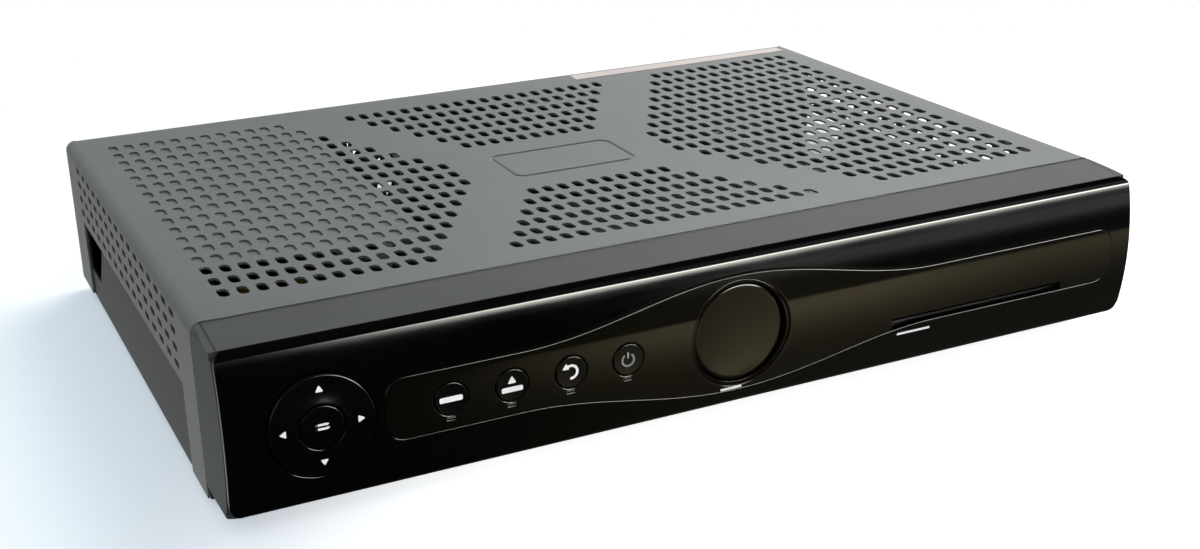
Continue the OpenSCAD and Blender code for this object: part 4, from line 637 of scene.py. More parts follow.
# Screws of the cover and the fan: steel with black zinc, cross recesses worn at their edges. They
# hold the cover's rear flange and the fan on the rear panel.
paint(coated("black_zinc", (0.022, 0.022, 0.023), rough=0.38, metallic=0.6, size=0.3, depth=0.01, worn=0.6,
             bare=(0.35, 0.34, 0.32), worn_width=0.25), "cover_screws", "fan_screws")

# Front housing: the moulded grey frame that carries the panel, fine grained and matt. Its side
# returns are painted a cooler, darker grey than its top, as painted light, and a dark line is
# painted along each upper corner as the shade of a groove. It stays the frame's own solid.
grey = coated("matt_grey_moulding", (0.060, 0.061, 0.060), rough=0.45, drift=0.10, depth=0.05, dusty=0.06,
              worn=0.3, bare=(0.12, 0.12, 0.117), Specular_IOR_Level=0.3)
normal = grey.facing()
# painted light: faces that point sideways get a cooler, darker grey than the top
grey.tint(grey.ramp(grey.maths("ABSOLUTE", normal["X"]), 0.55, 0.9), (0.016, 0.028, 0.031))
# painted shade: a dark line along each upper corner, where the shade of a groove falls
groove_shade_x = 178.6 * mm
out = grey.maths("ABSOLUTE", grey.maths("SUBTRACT", grey.maths("ABSOLUTE", grey.axes()["X"]), groove_shade_x))
joint = grey.times(grey.ramp(out, 0.25 * mm, 0.55 * mm, 1.0, 0.0), grey.ramp(normal["Z"], 0.2, 0.5))
grey.tint(joint, (0.006, 0.006, 0.006))
paint(grey, "fascia")

# Gloss panel: a bowed black moulding with rolled upper and lower lips, its window and the
# direction pad's hole cut through. Every shape on the front is laid out flat, as seen along
# the face, and then wrapped on the bow.
face, control = -131.1, 36.1  # the face's middle line and the controls' height, in mm
face_y, control_z = face * mm, control * mm
bow_radius, middle_z = 110 * mm, 36.4 * mm
lip_radius, lip_centre_z = 3.2 * mm, 25.2 * mm
lip_centre_u = bow_radius - np.sqrt((bow_radius - lip_radius) ** 2 - lip_centre_z**2)
lip_turn = np.arcsin(lip_centre_z / (bow_radius - lip_radius))
face_reach = bow_radius * lip_turn
lip_reach = lip_radius * (np.pi / 2 - lip_turn)
back_reach = 0.8 * mm
panel_reach = face_reach + lip_reach + back_reach
panel_half = 180.7 * mm
upper_corner, panel_high_z = 2.7 * mm, 64.8 * mm
lower_corner, panel_low_z = 5.7 * mm, 8.0 * mm


def wrapped(flat, height):
    """Place on the front: x, and the way along the section from its middle, which runs round the
    bow of the face, round a lip and a little way back; height is measured outwards."""
    x, way = flat[:, 0], flat[:, 1]
    side, out = np.sign(way), np.abs(way)
    lip = np.clip(out - face_reach, 0, lip_reach) / lip_radius
    angle = np.minimum(out, face_reach) / bow_radius + lip
    rest = np.clip(out - face_reach - lip_reach, 0, None)
    on_lip = out > face_reach
    radius = np.where(on_lip, lip_radius, bow_radius) + height
    centre_u = np.where(on_lip, lip_centre_u, bow_radius)
    centre_z = np.where(on_lip, lip_centre_z, 0.0)
    y = face_y + centre_u - radius * np.cos(angle) + rest
    z = middle_z + side * (centre_z + radius * np.sin(angle))
    return np.stack([x, y, z], 1)


def section_way(z):
    """Way along the section to the height z on the bowed face."""
    return bow_radius * np.arcsin((z - middle_z) / bow_radius)


def face_normal(place):
    """Outward normal of the front at a place: away from the bow's axis, or from a lip's axis."""
    side, out = np.sign(place[:, 2] - middle_z), np.abs(place[:, 2] - middle_z)
    from_bow = np.stack([place[:, 1] - face_y - bow_radius, place[:, 2] - middle_z], 1)
    from_lip = np.stack([place[:, 1] - face_y - lip_centre_u, side * (out - lip_centre_z)], 1)
    from_lip[:, 0] = np.minimum(from_lip[:, 0], 0)
    chosen = np.where((out > bow_radius * np.sin(lip_turn))[:, None], from_lip, from_bow)
    chosen /= np.linalg.norm(chosen, axis=1)[:, None]
    return np.stack([np.zeros(len(place)), chosen[:, 0], chosen[:, 1]], 1)


def inset(loop, distance):
    """A closed line moved to its left by distance, each corner along its own bisector."""
    before = loop - np.roll(loop, 1, axis=0)
    after = np.roll(loop, -1, axis=0) - loop
    before /= np.linalg.norm(before, axis=1)[:, None]
    after /= np.linalg.norm(after, axis=1)[:, None]
    left = np.stack([-before[:, 1] - after[:, 1], before[:, 0] + after[:, 0]], 1)
    left /= np.maximum(1e-9, (left**2).sum(1) / 2)[:, None]
    return loop + left * distance


def inside(points, loop):
    """Which points a closed line goes round, by counting the line's crossings to their right."""
    x, y = points[:, 0][:, None], points[:, 1][:, None]
    a, b = loop, np.roll(loop, -1, axis=0)
    cross = (a[:, 1] > y) != (b[:, 1] > y)
    rise = np.where(b[:, 1] == a[:, 1], 1.0, b[:, 1] - a[:, 1])
    at = a[:, 0] + (y - a[:, 1]) / rise * (b[:, 0] - a[:, 0])
    return (cross & (x < at)).sum(1) % 2 == 1


def plate(outer, holes, rim, thick, lines=None, level=0.0, laid=wrapped, steps=4):
    """A plate cut from flat lines: its edges roll over in a quarter round of radius rim and go
    down to its back. Corners of the level parts are joined by the shortest-circle rule
    (Delaunay), edges by strips between neighbouring lines. laid puts flat points in place."""
    loops = [outer] + list(holes)
    tops = [inset(loop, rim) for loop in loops]
    points, faces, at = [], [], 0

    def put(flat, height):
        nonlocal at
        points.append(laid(flat, height + level))
        at += len(flat)
        return at - len(flat)

    def strip(a, b, count):
        k = np.arange(count)
        n = (k + 1) % count
        faces.extend(np.stack([a + k, a + n, b + n, b + k], 1))

    def on_plate(places):
        return inside(places, tops[0]) & ~np.any([inside(places, hole) for hole in tops[1:]], axis=0)

    fill = np.concatenate(tops)
    flat = fill
    if lines is not None:  # a grid inside, but no point of it close to the edges' own
        grid = np.stack(np.meshgrid(*lines, indexing="ij"), -1).reshape(-1, 2)
        grid = grid[on_plate(grid)]
        gap = min(np.diff(lines[0]).min(), np.diff(lines[1]).min()) * 0.45
        near = [np.abs(grid - p).max(1) < gap for p in fill]
        flat = np.concatenate([fill, grid[~np.any(near, axis=0)]])
    starts = np.cumsum([0] + [len(loop) for loop in tops])
    edges = [(int(s + k), int(s + (k + 1) % len(loop))) for s, loop in zip(starts, tops) for k in range(len(loop))]
    made = delaunay_2d_cdt([Vector(p) for p in (flat / mm).tolist()], edges, [], 0, 1e-6)
    flat = np.array([tuple(v) for v in made[0]]) * mm
    cells = np.array(made[2])
    cells = cells[on_plate(flat[cells].mean(1))]
    a, b, c = (flat[cells[:, k]] for k in range(3))
    turn = (b[:, 0] - a[:, 0]) * (c[:, 1] - a[:, 1]) - (b[:, 1] - a[:, 1]) * (c[:, 0] - a[:, 0])
    cells[turn < 0] = cells[turn < 0][:, ::-1]
    faces.extend(cells + put(flat, 0.0))
    faces.extend((cells + put(flat, -thick))[:, ::-1])
    for loop in loops:
        last = put(inset(loop, rim), 0.0)
        for turn in np.arange(1, steps + 1) / steps * np.pi / 2:
            new = put(inset(loop, rim * (1 - np.sin(turn))), -rim * (1 - np.cos(turn)))
            strip(new, last, len(loop))
            last = new
        low = put(loop, -thick)
        strip(low, last, len(loop))
        strip(put(inset(loop, rim), -thick), low, len(loop))
    return np.concatenate(points), faces


def ring_line(x, z, radius, count, clockwise=False):
    """A circle in front view, laid flat."""
    turn = np.linspace(0, 2 * np.pi, count, endpoint=False) * (-1 if clockwise else 1)
    return np.stack([x + radius * np.cos(turn), section_way(z + radius * np.sin(turn))], 1)


def end_of_panel(way):
    """Half width of the panel at a way along its section: its corners are round in front view."""
    z = wrapped(np.stack([np.zeros(len(way)), way], 1), np.zeros(len(way)))[:, 2]
    half = panel_half
    for corner, past in ((upper_corner, z - panel_high_z), (lower_corner, panel_low_z - z)):
        half = half - (corner - np.sqrt(corner**2 - np.clip(corner + past, 0, None) ** 2))
    return half


ring, pad = 2.0, -150.0  # middles of the light ring and of the pad, in mm
ring_x, ring_radius = ring * mm, 19.8 * mm
pad_x, pad_radius = pad * mm, 17.5 * mm
window_low_x, window_high_x, window_half = -129.5 * mm, 171.0 * mm, 11.0 * mm
window_corner, swell_height, swell_reach = 7.0 * mm, 10.8 * mm, 84.0 * mm


def swelling(x):
    """Rise of the window's edge round the ring: half a cosine wave."""
    out = np.clip((x - ring_x) / swell_reach, -1, 1)
    return swell_height * (1 + np.cos(np.pi * out)) / 2


def window_line(grow, slot=None, clockwise=False):
    """The window's outline in front view, laid flat; slot is a step cut up into its lower edge."""
    x0, x1 = window_low_x + window_corner, window_high_x - window_corner
    r, z = window_corner + grow, window_half - window_corner

    def corner(cx, cz, start):
        turns = np.radians(np.linspace(0, 90, 9))[1:-1] + start
        return np.stack([cx + r * np.cos(turns), cz + r * np.sin(turns)], 1)

    def edge(x):
        return np.stack([x, window_half + grow + swelling(x)], 1)

    low = edge(np.linspace(x0, x1, 121)) * [1, -1]
    if slot is not None:
        left, right, top = slot
        step = np.stack([np.linspace(left, right, 41), np.full(41, top)], 1)
        low = np.concatenate([
            low[low[:, 0] < left - 1 * mm], edge(np.array([left])) * [1, -1], step,
            edge(np.array([right])) * [1, -1], low[low[:, 0] > right + 1 * mm],
        ])
    line = np.concatenate([
        low, corner(x1, -z, -np.pi / 2), [[x1 + r, -z], [x1 + r, z]], corner(x1, z, 0.0),
        edge(np.linspace(x0, x1, 121)[::-1]),
        corner(x0, z, np.pi / 2), [[x0 - r, z], [x0 - r, -z]], corner(x0, -z, np.pi),
    ])
    line = np.stack([line[:, 0], section_way(control_z + line[:, 1])], 1)
    return line[::-1] if clockwise else line


# Hard gloss: a faint ripple from moulding, and a haze that roughens it in patches
lacquer = group("lacquer", {"Roughness": 0.05, "Haze": 0.05, "Ripple": 0.02 * mm},
                {"Roughness": "Float", "Normal": "Vector"})
given, where = lacquer.given, lacquer.place()
smear = lacquer.ramp(lacquer.noise(where, 22.0, 3.0), 0.40, 0.75)
lacquer.put(lacquer.result["Roughness"], lacquer.maths("MULTIPLY_ADD", smear, given["Haze"], given["Roughness"]))
waves = lacquer.noise(where, 60.0, 1.0)
ripple = lacquer.add("ShaderNodeBump", Strength=0.25, Distance=given["Ripple"], Height=waves)
lacquer.put(lacquer.result["Normal"], ripple.outputs[0])


def glossy(name, colour, rough, dusty, haze=0.05, ripple=0.02, **constants):
    """Hard gloss plastic: its colour under fine dust, with the lacquer group's finish."""
    sheet = material(name, rough=rough, **constants)
    sheet.dusted = sheet.effect(dust, Colour=(*colour, 1.0), Amount=dusty)
    sheet.put(sheet.shader.inputs["Base Color"], sheet.dusted.outputs["Colour"])
    finish = sheet.effect(lacquer, Roughness=rough, Haze=haze, Ripple=ripple * mm).outputs
    duller = sheet.maths("MULTIPLY_ADD", sheet.dusted.outputs["Mask"], 0.3, finish["Roughness"], clamp=True)
    sheet.put(sheet.shader.inputs["Roughness"], duller)
    sheet.put(sheet.shader.inputs["Normal"], finish["Normal"])
    return sheet


gloss = glossy("gloss_black_moulding", (0.0018, 0.0022, 0.0019), 0.05, 0.02)
gloss.put(gloss.shader.inputs["Specular IOR Level"], gloss.ramp(gloss.facing()["Z"], 0.60, 0.85, 0.42, 0.0))
ways = np.concatenate([
    [-panel_reach],
    np.linspace(-face_reach - lip_reach, -face_reach, 10),
    np.linspace(-face_reach, face_reach, 19)[1:-1],
    np.linspace(face_reach, face_reach + lip_reach, 10),
    [panel_reach],
])
half = end_of_panel(ways)
across = np.linspace(-1, 1, 91)
panel_outer = np.concatenate([
    np.stack([across[:-1] * half[0], np.full(90, ways[0])], 1),
    np.stack([half[:-1], ways[:-1]], 1),
    np.stack([across[:0:-1] * half[-1], np.full(90, ways[-1])], 1),
    np.stack([-half[:0:-1], ways[:0:-1]], 1),
])
panel_holes = [ring_line(pad_x, control_z, pad_radius + 0.5 * mm, 72, True), window_line(0.15 * mm, clockwise=True)]
panel_lines = (np.linspace(-177, 177, 89) * mm, ways[1:-1])
finished("gloss_panel", plate(panel_outer, panel_holes, 0.4 * mm, 2.35 * mm, panel_lines), gloss, "case",
         stands_for=["front_panel"], true_normal=face_normal)

# Window: the smoked lens set in the panel, a little proud, with a rolled edge that catches the
# light. Round holes let the four buttons and the light ring through.
smoke = glossy("smoked_lens", (0.0020, 0.0020, 0.0016), 0.04, 0.04, haze=0.03, Specular_IOR_Level=0.42)
x = smoke.axes()["X"]
# painted light: the lens is painted a paler brown towards its middle than at its ends
painted_paler_middle = smoke.times(smoke.ramp(x, -0.14, -0.02, 0.3, 1.0), smoke.ramp(x, 0.03, 0.17, 1.0, 0.6))
smoke.tint(painted_paler_middle, (0.0090, 0.0074, 0.0042))
window_rise = 0.4 * mm
button_bodies = ("guide", "menu", "back", "standby")
button_nodes = ("guide_button", "menu_button", "back_button", "standby_button")
button_places = [(low.x + high.x) / 2 for low, high in map(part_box, button_nodes)]
button_radius = 5.7 * mm
guide_z = control_z - button_radius - 1.2 * mm
card_slot = (67 * mm, 147 * mm, -window_half + 3.4 * mm)


def bar_line(x, z, width, height, radius):
    """A bar with round corners in front view, laid flat and run clockwise."""
    line = []
    for sx, sz, start in ((1, 1, 0), (-1, 1, 90), (-1, -1, 180), (1, -1, 270)):
        turns = np.radians(np.linspace(0, 90, 5)) + np.radians(start)
        line.append(np.stack([
            x + (sx * (width / 2 - radius) + radius * np.cos(turns)),
            section_way(z + (sz * (height / 2 - radius) + radius * np.sin(turns))),
        ], 1))
    return np.concatenate(line)[::-1]


lens_holes = [ring_line(ring_x, control_z, ring_radius + 0.15 * mm, 96, True)]
lens_holes += [ring_line(x, control_z, button_radius + 0.25 * mm, 48, True) for x in button_places]
lens_holes += [bar_line(x, guide_z, 3.2 * mm, 1.2 * mm, 0.3 * mm) for x in button_places]
lens_lines = (np.linspace(-127, 169, 75) * mm, np.linspace(-22, 22, 12) * mm)
lens = plate(window_line(0.0, card_slot), lens_holes, 0.5 * mm, 3.0 * mm, lens_lines, level=window_rise)
finished("smoked_window", lens, smoke, "case", stands_for=["window_lens"],
         true_normal=face_normal)

# Keys, light ring and disc: glossy black mouldings behind the holes. Each follows the bow of the
# face, y = bow(z) - level, and its middle is hollowed: by dip * (1 - (r / radius)^2) on a round
# key, and by dip * sin(pi * (r - bore) / (radius - bore)) on one with a bore.
key_black = glossy("key_black", (0.0024, 0.0024, 0.0026), 0.10, 0.06, haze=0.10, Specular_IOR_Level=0.42)


def bow(z):
    """How far the face lies behind its middle line at the height z."""
    return bow_radius - np.sqrt(bow_radius**2 - (z - middle_z) ** 2)


def key_face(x, radius, dip, bore=0.0):
    """The flat points' way to their place on a key's hollowed face, and the face's true normal."""
    def depth(px, pz):
        share = np.clip((np.hypot(px - x, pz - control_z) - bore) / (radius - bore), 0, 1)
        return bow(pz) + dip * (np.sin(np.pi * share) if bore else 1 - share**2)

    def laid(flat, height):
        z = middle_z + bow_radius * np.sin(flat[:, 1] / bow_radius)
        return np.stack([flat[:, 0], face_y + depth(flat[:, 0], z) - height, z], 1)

    def normal(place):
        px, pz, step = place[:, 0], place[:, 2], 0.01 * mm
        over = (depth(px + step, pz) - depth(px - step, pz)) / (2 * step)
        up = (depth(px, pz + step) - depth(px, pz - step)) / (2 * step)
        found = np.stack([over, np.full(len(px), -1.0), up], 1)
        return found / np.linalg.norm(found, axis=1)[:, None]

    return laid, normal


def key(name, x, radius, level, dip, thick, body, node, stem, bore=0.0, rim=0.45 * mm, count=64):
    """A key's cap with its rolled rim, and behind it the parts that guide it. Gives back the
    flat points' way to their place."""
    laid, normal = key_face(x, radius, dip, bore)
    steps = int(2 * radius / (1.3 * mm))
    low, high = section_way(control_z - radius), section_way(control_z + radius)
    lines = (np.linspace(x - radius, x + radius, steps), np.linspace(low, high, steps))
    holes = [ring_line(x, control_z, bore, count, True)] if bore else []
    cap = plate(ring_line(x, control_z, radius, count), holes, rim, thick, lines, level=level, laid=laid)
    finished(name, joined(cap, *stem), key_black, body, stands_for=[node], true_normal=normal)
    return laid


def block(low, high):
    """A box from its low to its high corner, in mm, its corners in front of its back."""
    across, deep, up = zip(low, high)
    places = np.array([(x, y, z) for x in across for y in deep for z in up]) * mm
    return places, np.array([(0, 1, 3, 2), (4, 6, 7, 5), (0, 4, 5, 1), (2, 3, 7, 6), (0, 2, 6, 4), (1, 5, 7, 3)])


def in_a_ring(rows, middle, radius, degrees):
    """Turned pegs on a circle round (middle, the controls' height), in mm."""
    places = [(middle + radius * np.cos(a), control + radius * np.sin(a)) for a in np.radians(degrees)]
    return [turned(rows, 20, at=place) for place in places]


def behind_face(*parts):
    """Moves parts that are measured back from the face to their place."""
    return [(places + [0, face_y, 0], faces) for places, faces in parts]


# Pad: its collar lies in the round opening of the housing's web, four pins stand before their
# switches, and two ears hold the pivots of the cross joint's ring
web, switch = 6.392, 9.59  # how far behind the face their fronts lie, in mm
collar_rows = [(7.75, web - 0.5), (18.6, web - 0.5), (18.6, web + 0.6), (7.75, web + 0.6), (7.75, web - 0.5)]
collar = turned(collar_rows, 64, at=(pad, control))
pin_rows = [(0, web + 0.5), (1.1, web + 0.5), (1.1, switch + 0.7), (0.9, switch + 0.9), (0, switch + 0.9)]
pins = in_a_ring(pin_rows, pad, 17.2, (0, 90, 180, 270))
ears = [block((x - 0.75, face + web + 0.5, 33.9), (x + 0.75, face + web + 4.4, 38.3)) for x in (-163.65, -136.35)]
for start, stop in ((-163.2, -160.0), (-140.0, -136.8)):
    places, sides = turned([(0, start), (0.78, start), (0.78, stop), (0, stop)], 16)
    ears.append((places[:, [1, 0, 2]] + [0, (face + web + 2.9) * mm, control_z], sides[:, ::-1]))
bore, hollow, pad_rise = 7.7 * mm, 0.55 * mm, 0.8 * mm
sleeve = plate(ring_line(pad_x, control_z, 16.8 * mm, 64), [ring_line(pad_x, control_z, 7.8 * mm, 64, True)],
               0.1 * mm, 6.6 * mm, laid=key_face(pad_x, pad_radius, hollow, bore)[0])
sleeve[0][:, 1] = np.minimum(sleeve[0][:, 1], (face + web + 0.5) * mm)
pad_laid = key("pad_cap", pad_x, pad_radius - 0.15 * mm, pad_rise, hollow, 1.15 * mm, "pad", "dpad_rocker",
               [sleeve] + behind_face(collar, *pins) + ears, bore=bore, rim=0.6 * mm, count=96)


def stem_of(x, back, wide, reach=10.39):
    """A round stem from behind a cap to its switch, with a collar of the radius given."""
    rows = [(0, back - 0.3), (wide, back - 0.3), (wide, back + 0.7), (1.7, back + 0.9), (1.7, reach - 0.2)]
    return behind_face(turned(rows + [(1.5, reach), (0, reach)], 32, at=(x / mm, control)))


key_rise = 0.6 * mm
select_laid = key("select_cap", pad_x, 7.2 * mm, key_rise, 0.35 * mm, 7.2 * mm, "select", "select_key",
                  stem_of(pad_x, 7.8, 8.8))
button_laid = {
    body: key(node + "_cap", x, button_radius, key_rise, 0.45 * mm, 4.2 * mm, body, node, stem_of(x, 3.95, 7.0),
              count=56)
    for x, body, node in zip(button_places, button_bodies, button_nodes)
}

# The ring is a clear light guide, dark with a breath of red while it isn't lit; the disc in it is
# hollowed like a shallow dish, y = 3.8 mm - 90 mm + sqrt((90 mm)^2 - r^2).


def from_ring(sheet):
    """Distance from the ring's axis, in metres."""
    way = sheet.vector("SUBTRACT", sheet.place(), (ring_x, 0.0, control_z))
    return sheet.vector("LENGTH", sheet.vector("MULTIPLY", way, (1.0, 0.0, 1.0)))


ring_smoke = glossy("ring_guide", (0.0015, 0.0010, 0.0010), 0.10, 0.01, Specular_IOR_Level=0.30)
ring_smoke.tint(ring_smoke.ramp(from_ring(ring_smoke), 19.35 * mm, 19.75 * mm), (0.050, 0.007, 0.006))
laid, normal = key_face(ring_x, ring_radius, 0.0)
lines = (np.linspace(ring_x - ring_radius, ring_x + ring_radius, 40), np.linspace(-20, 20, 40) * mm)
ring_bore = ring_line(ring_x, control_z, ring_radius - 1.2 * mm, 128, True)
cap = plate(ring_line(ring_x, control_z, ring_radius, 128), [ring_bore], 0.3 * mm, 7.6 * mm, lines,
            level=-0.4 * mm, laid=laid)
flange_front, flange_back = 8.192, 9.392  # its front lies on the back of the web
flange = turned([
    (17.4, web - 0.6), (19.7, web - 0.6), (19.7, flange_front), (23.4, flange_front), (23.5, 8.3), (23.5, 9.3),
    (23.4, flange_back), (17.4, flange_back), (17.4, web - 0.6),
], 96, at=(ring, control))
peg_rows = [(0, 9.2), (1.5, 9.2), (1.5, 12.8), (1.3, 12.99), (0, 12.99)]
pegs = in_a_ring(peg_rows, ring, 21.8, (90, 210, 330))
finished("light_ring", joined(cap, *behind_face(flange, *pegs)), ring_smoke, "case", stands_for=["ring_light"],
         true_normal=normal)
disc_smoke = glossy("disc_smoke", (0.0015, 0.0012, 0.0012), 0.05, 0.03, haze=0.03, Specular_IOR_Level=0.42)
disc_smoke.tint(disc_smoke.ramp(from_ring(disc_smoke), 16.4 * mm, 17.0 * mm, 1.0, 0.04), (0.0100, 0.0080, 0.0050))
r, bowl = np.linspace(0, 16.8, 26), 90
hollow = np.stack([r, 3.8 - bowl + np.sqrt(bowl**2 - r**2)], 1)
turns, roll = np.radians(np.arange(-5, 91, 9.5)[1:]), 1.55
edge = np.stack([16.9 + roll * np.sin(turns), hollow[-1, 1] + roll * (1 - np.cos(turns))], 1)
disc_rows = np.concatenate([hollow, edge, [(18.45, 5.7), (18.35, 5.79), (0, 5.79)]])
disc, = behind_face(turned(disc_rows, 128, at=(ring, control)))
finished("smoked_disc", disc, disc_smoke, "case", stands_for=["ring_disc"])

# Printed marks: white and grey ink a few hundredths of a millimetre thick on the keys and the
# panel, plain shapes without letters. The white ink also glows a little, which is painted light.
glowing_white_ink = coated("glowing_white_ink", (0.80, 0.80, 0.79), size=0.25, depth=0.01, dusty=0.05,
                   Emission_Color=white, Emission_Strength=0.35)
grey_ink = coated("grey_ink", (0.40, 0.40, 0.40), drift=0.12, size=0.25, depth=0.01, dusty=0.1)


def mark(name, line, body, laid, level, ink=glowing_white_ink, holes=()):
    """A thin print in a closed line of (x, z) corners in mm, laid on a key or on the panel."""
    def flat(corners):
        corners = np.asarray(corners) * mm
        return np.stack([corners[:, 0], section_way(corners[:, 1])], 1)

    film = 0.03 * mm
    cut = [flat(hole)[::-1] for hole in holes]
    shape = plate(flat(line), cut, film, 0.09 * mm, level=level + film, laid=laid, steps=1)
    finished(name, shape, ink, body, merge=1e-7)


def triangle(x, z, size, angle, corner=0.25):
    """A triangle with round corners that points to the angle."""
    middle = np.radians(angle + 120 * np.arange(3))[:, None]
    turn = np.radians(angle + 120 * np.arange(3)[:, None] + np.linspace(-60, 60, 4)[None])
    across, up = (size * way(middle) + corner * way(turn) for way in (np.cos, np.sin))
    return np.stack([x + across, z + up], -1).reshape(-1, 2)


def arc_band(x, z, radius, width, start, stop):
    """Part of a ring between two angles."""
    turn = np.radians(np.linspace(start, stop, 22))
    rim = np.stack([np.cos(turn), np.sin(turn)], 1)
    return np.concatenate([rim * (radius + width / 2), rim[::-1] * (radius - width / 2)]) + [x, z]


def pill(x, z, width, height, radius):
    """A bar with round corners."""
    turn = np.radians(np.arange(4)[:, None] * 90 + np.linspace(0, 90, 5)[None])
    sx = np.array([1, -1, -1, 1])[:, None] * (width / 2 - radius)
    sz = np.array([1, 1, -1, -1])[:, None] * (height / 2 - radius)
    return np.stack([x + sx + radius * np.cos(turn), z + sz + radius * np.sin(turn)], -1).reshape(-1, 2)


for k, way in enumerate((0, 90, 180, 270)):
    x, z = pad + 12.4 * np.cos(np.radians(way)), control + 12.4 * np.sin(np.radians(way))
    mark("pad_mark_%d" % (k + 1), triangle(x, z, 1.05, way), "pad", pad_laid, pad_rise)
mark("select_mark", pill(pad, control, 5.0, 2.2, 1.1), "select", select_laid, key_rise,
     holes=[pill(pad, control, 3.2, 0.7, 0.3)])
guide_x, menu_x, back_x, standby_x = [x / mm for x in button_places]
for name, line in (
    ("guide_mark", pill(guide_x, 35.9, 8.0, 1.9, 0.5)),
    ("menu_mark_bar", pill(menu_x, 34.6, 7.6, 1.8, 0.5)),
    ("menu_mark_top", triangle(menu_x, 37.6, 1.35, 90)),
    ("back_mark_hook", arc_band(back_x, control, 2.3, 0.9, -100, 130)),
    ("back_mark_head", triangle(back_x - 1.9, 38.0, 1.1, 205)),
    ("standby_mark_ring", arc_band(standby_x, 35.9, 2.2, 0.7, -235, 55)),
    ("standby_mark_bar", pill(standby_x, 37.6, 0.7, 2.4, 0.3)),
):
    body = name.split("_")[0]
    mark(name, line, body, button_laid[body], key_rise, grey_ink if body == "standby" else glowing_white_ink)
mark("ring_dash", pill(-1.1, 15.35, 8.6, 1.0, 0.4), "case", wrapped, window_rise)
mark("slot_dash", pill(77.5, 21.6, 15.0, 0.9, 0.3), "case", wrapped, 0.0)

# Light guides under the buttons: clear acrylic bars with milky ends, pushed through the
# housing's web in front of the lamps of the front board.
paint(coated("milky_acrylic", (0.16, 0.155, 0.14), rough=0.3, drift=0.15, size=0.4, depth=0.02, dusty=0.05),
      "light_guides")

# Steel cover: one pierced sheet of 0.8 mm steel, folded down at both sides and at the rear and
# painted dark grey. Its top is dished a few millimetres. The rows of vents leave an X plain,
# with a pressed outline in the middle of it.
cover_low, cover_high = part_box("top_cover")
cover_top, sheet_thick, fold_radius = cover_high.z, 0.8 * mm, 4.0 * mm
flat_half = cover_high.x - fold_radius
arc_reach = fold_radius * np.pi / 2
vent_y = (cover_low.y + cover_high.y) / 2
pitch_x, pitch_y, side_pitch = 6.5 * mm, 11.53 * mm, 6.1 * mm
vent_columns, vent_rows = 52, 17
top_vent, side_vent = (3.8 * mm, 7.8 * mm), (2.64 * mm, 7.2 * mm)
dish_depth, dish_y = 4.0 * mm, -20 * mm
rear_radius, rear_flange = 1.2 * mm, 7.6 * mm
rear_line = cover_high.y - rear_radius
outline_wide, outline_high, outline_corner = 54 * mm, 30 * mm, 4.5 * mm
groove_half, groove_deep = 2.0 * mm, 0.45 * mm


def dish(x, y):
    """Depth of the top at a place: a parabola across; along the depth a cubic to the front edge
    and a parabola to the rear edge."""
    run = y - vent_y - dish_y
    front = np.clip(-run / (cover_high.y - vent_y + dish_y), 0, 1)
    rear = np.clip(run / (cover_high.y - vent_y - dish_y), 0, 1)
    return dish_depth * (1 - np.clip(x / flat_half, -1, 1) ** 2) * (1 - front**3 - rear**2)


def folded(flat, rise=0.0):
    """Place on the folded sheet: level between the folds, round an arc, then straight down."""
    u, y = flat[:, 0], flat[:, 1]
    side, out = np.sign(u), np.abs(u)
    past = np.clip(out - flat_half, 0, None)
    turn = np.minimum(past, arc_reach) / fold_radius
    x = side * (np.minimum(out, flat_half) + fold_radius * np.sin(turn))
    z = cover_top - fold_radius * (1 - np.cos(turn)) - np.clip(past - arc_reach, 0, None)
    z = z - np.where(past > 0, 0.0, dish(u, y)) + rise
    return np.stack([x, y, z], 1)


def grid_of(u, y):
    """A plain stretch of the flat sheet between the given lines: places and four-cornered faces."""
    places = np.stack(np.meshgrid(u, y, indexing="ij"), -1).reshape(-1, 2)
    i, j = np.meshgrid(np.arange(len(u) - 1), np.arange(len(y) - 1), indexing="ij")
    low = (i * len(y) + j).ravel()
    return places, np.stack([low, low + len(y), low + len(y) + 1, low + 1], 1)


def vent_rim(wide, long):
    """Twenty corners round a hole with round ends, from the start of its lower end."""
    turn = np.radians(30.0 * np.arange(6))
    up = (long - wide) / 2 * (np.arange(4) / 2 - 1)
    right = np.full(4, wide / 2)
    lower = np.stack([-wide / 2 * np.cos(turn), (wide - long) / 2 - wide / 2 * np.sin(turn)], 1)
    return np.concatenate([lower, np.stack([right, up], 1), -lower, np.stack([-right, -up], 1)])


def pierced(open_cells, missing, pitch, hole, corner):
    """Cells side by side, each cut 6 by 4. In an open cell a hole's twenty corners are joined
    to the twenty corners round the cell; missing cells have no faces."""
    nx, ny = open_cells.shape
    rows = 4 * ny + 1
    u_lines = corner[0] + np.arange(6 * nx + 1) * pitch[0] / 6
    places, faces = grid_of(u_lines, corner[1] + np.arange(rows) * pitch[1] / 4)
    i, j = np.meshgrid(np.arange(6 * nx) // 6, np.arange(4 * ny) // 4, indexing="ij")
    faces = faces[~(open_cells | missing)[i, j].ravel()]
    k6, k4 = np.arange(6), np.arange(4)
    step_u = np.concatenate([k6, np.full(4, 6), 6 - k6, np.zeros(4, int)])
    step_y = np.concatenate([np.zeros(6, int), k4, np.full(6, 4), 4 - k4])
    cells = np.argwhere(open_cells)
    centres = np.array(corner) + (cells + 0.5) * np.array(pitch)
    rims = centres[:, None] + vent_rim(*hole)[None]
    border = (6 * cells[:, :1] + step_u) * rows + 4 * cells[:, 1:] + step_y
    ring = len(places) + np.arange(len(rims) * 20).reshape(-1, 20)
    round_holes = np.stack([border, np.roll(border, -1, 1), np.roll(ring, -1, 1), ring], -1).reshape(-1, 4)
    return np.concatenate([places, rims.reshape(-1, 2)]), np.concatenate([faces, round_holes])


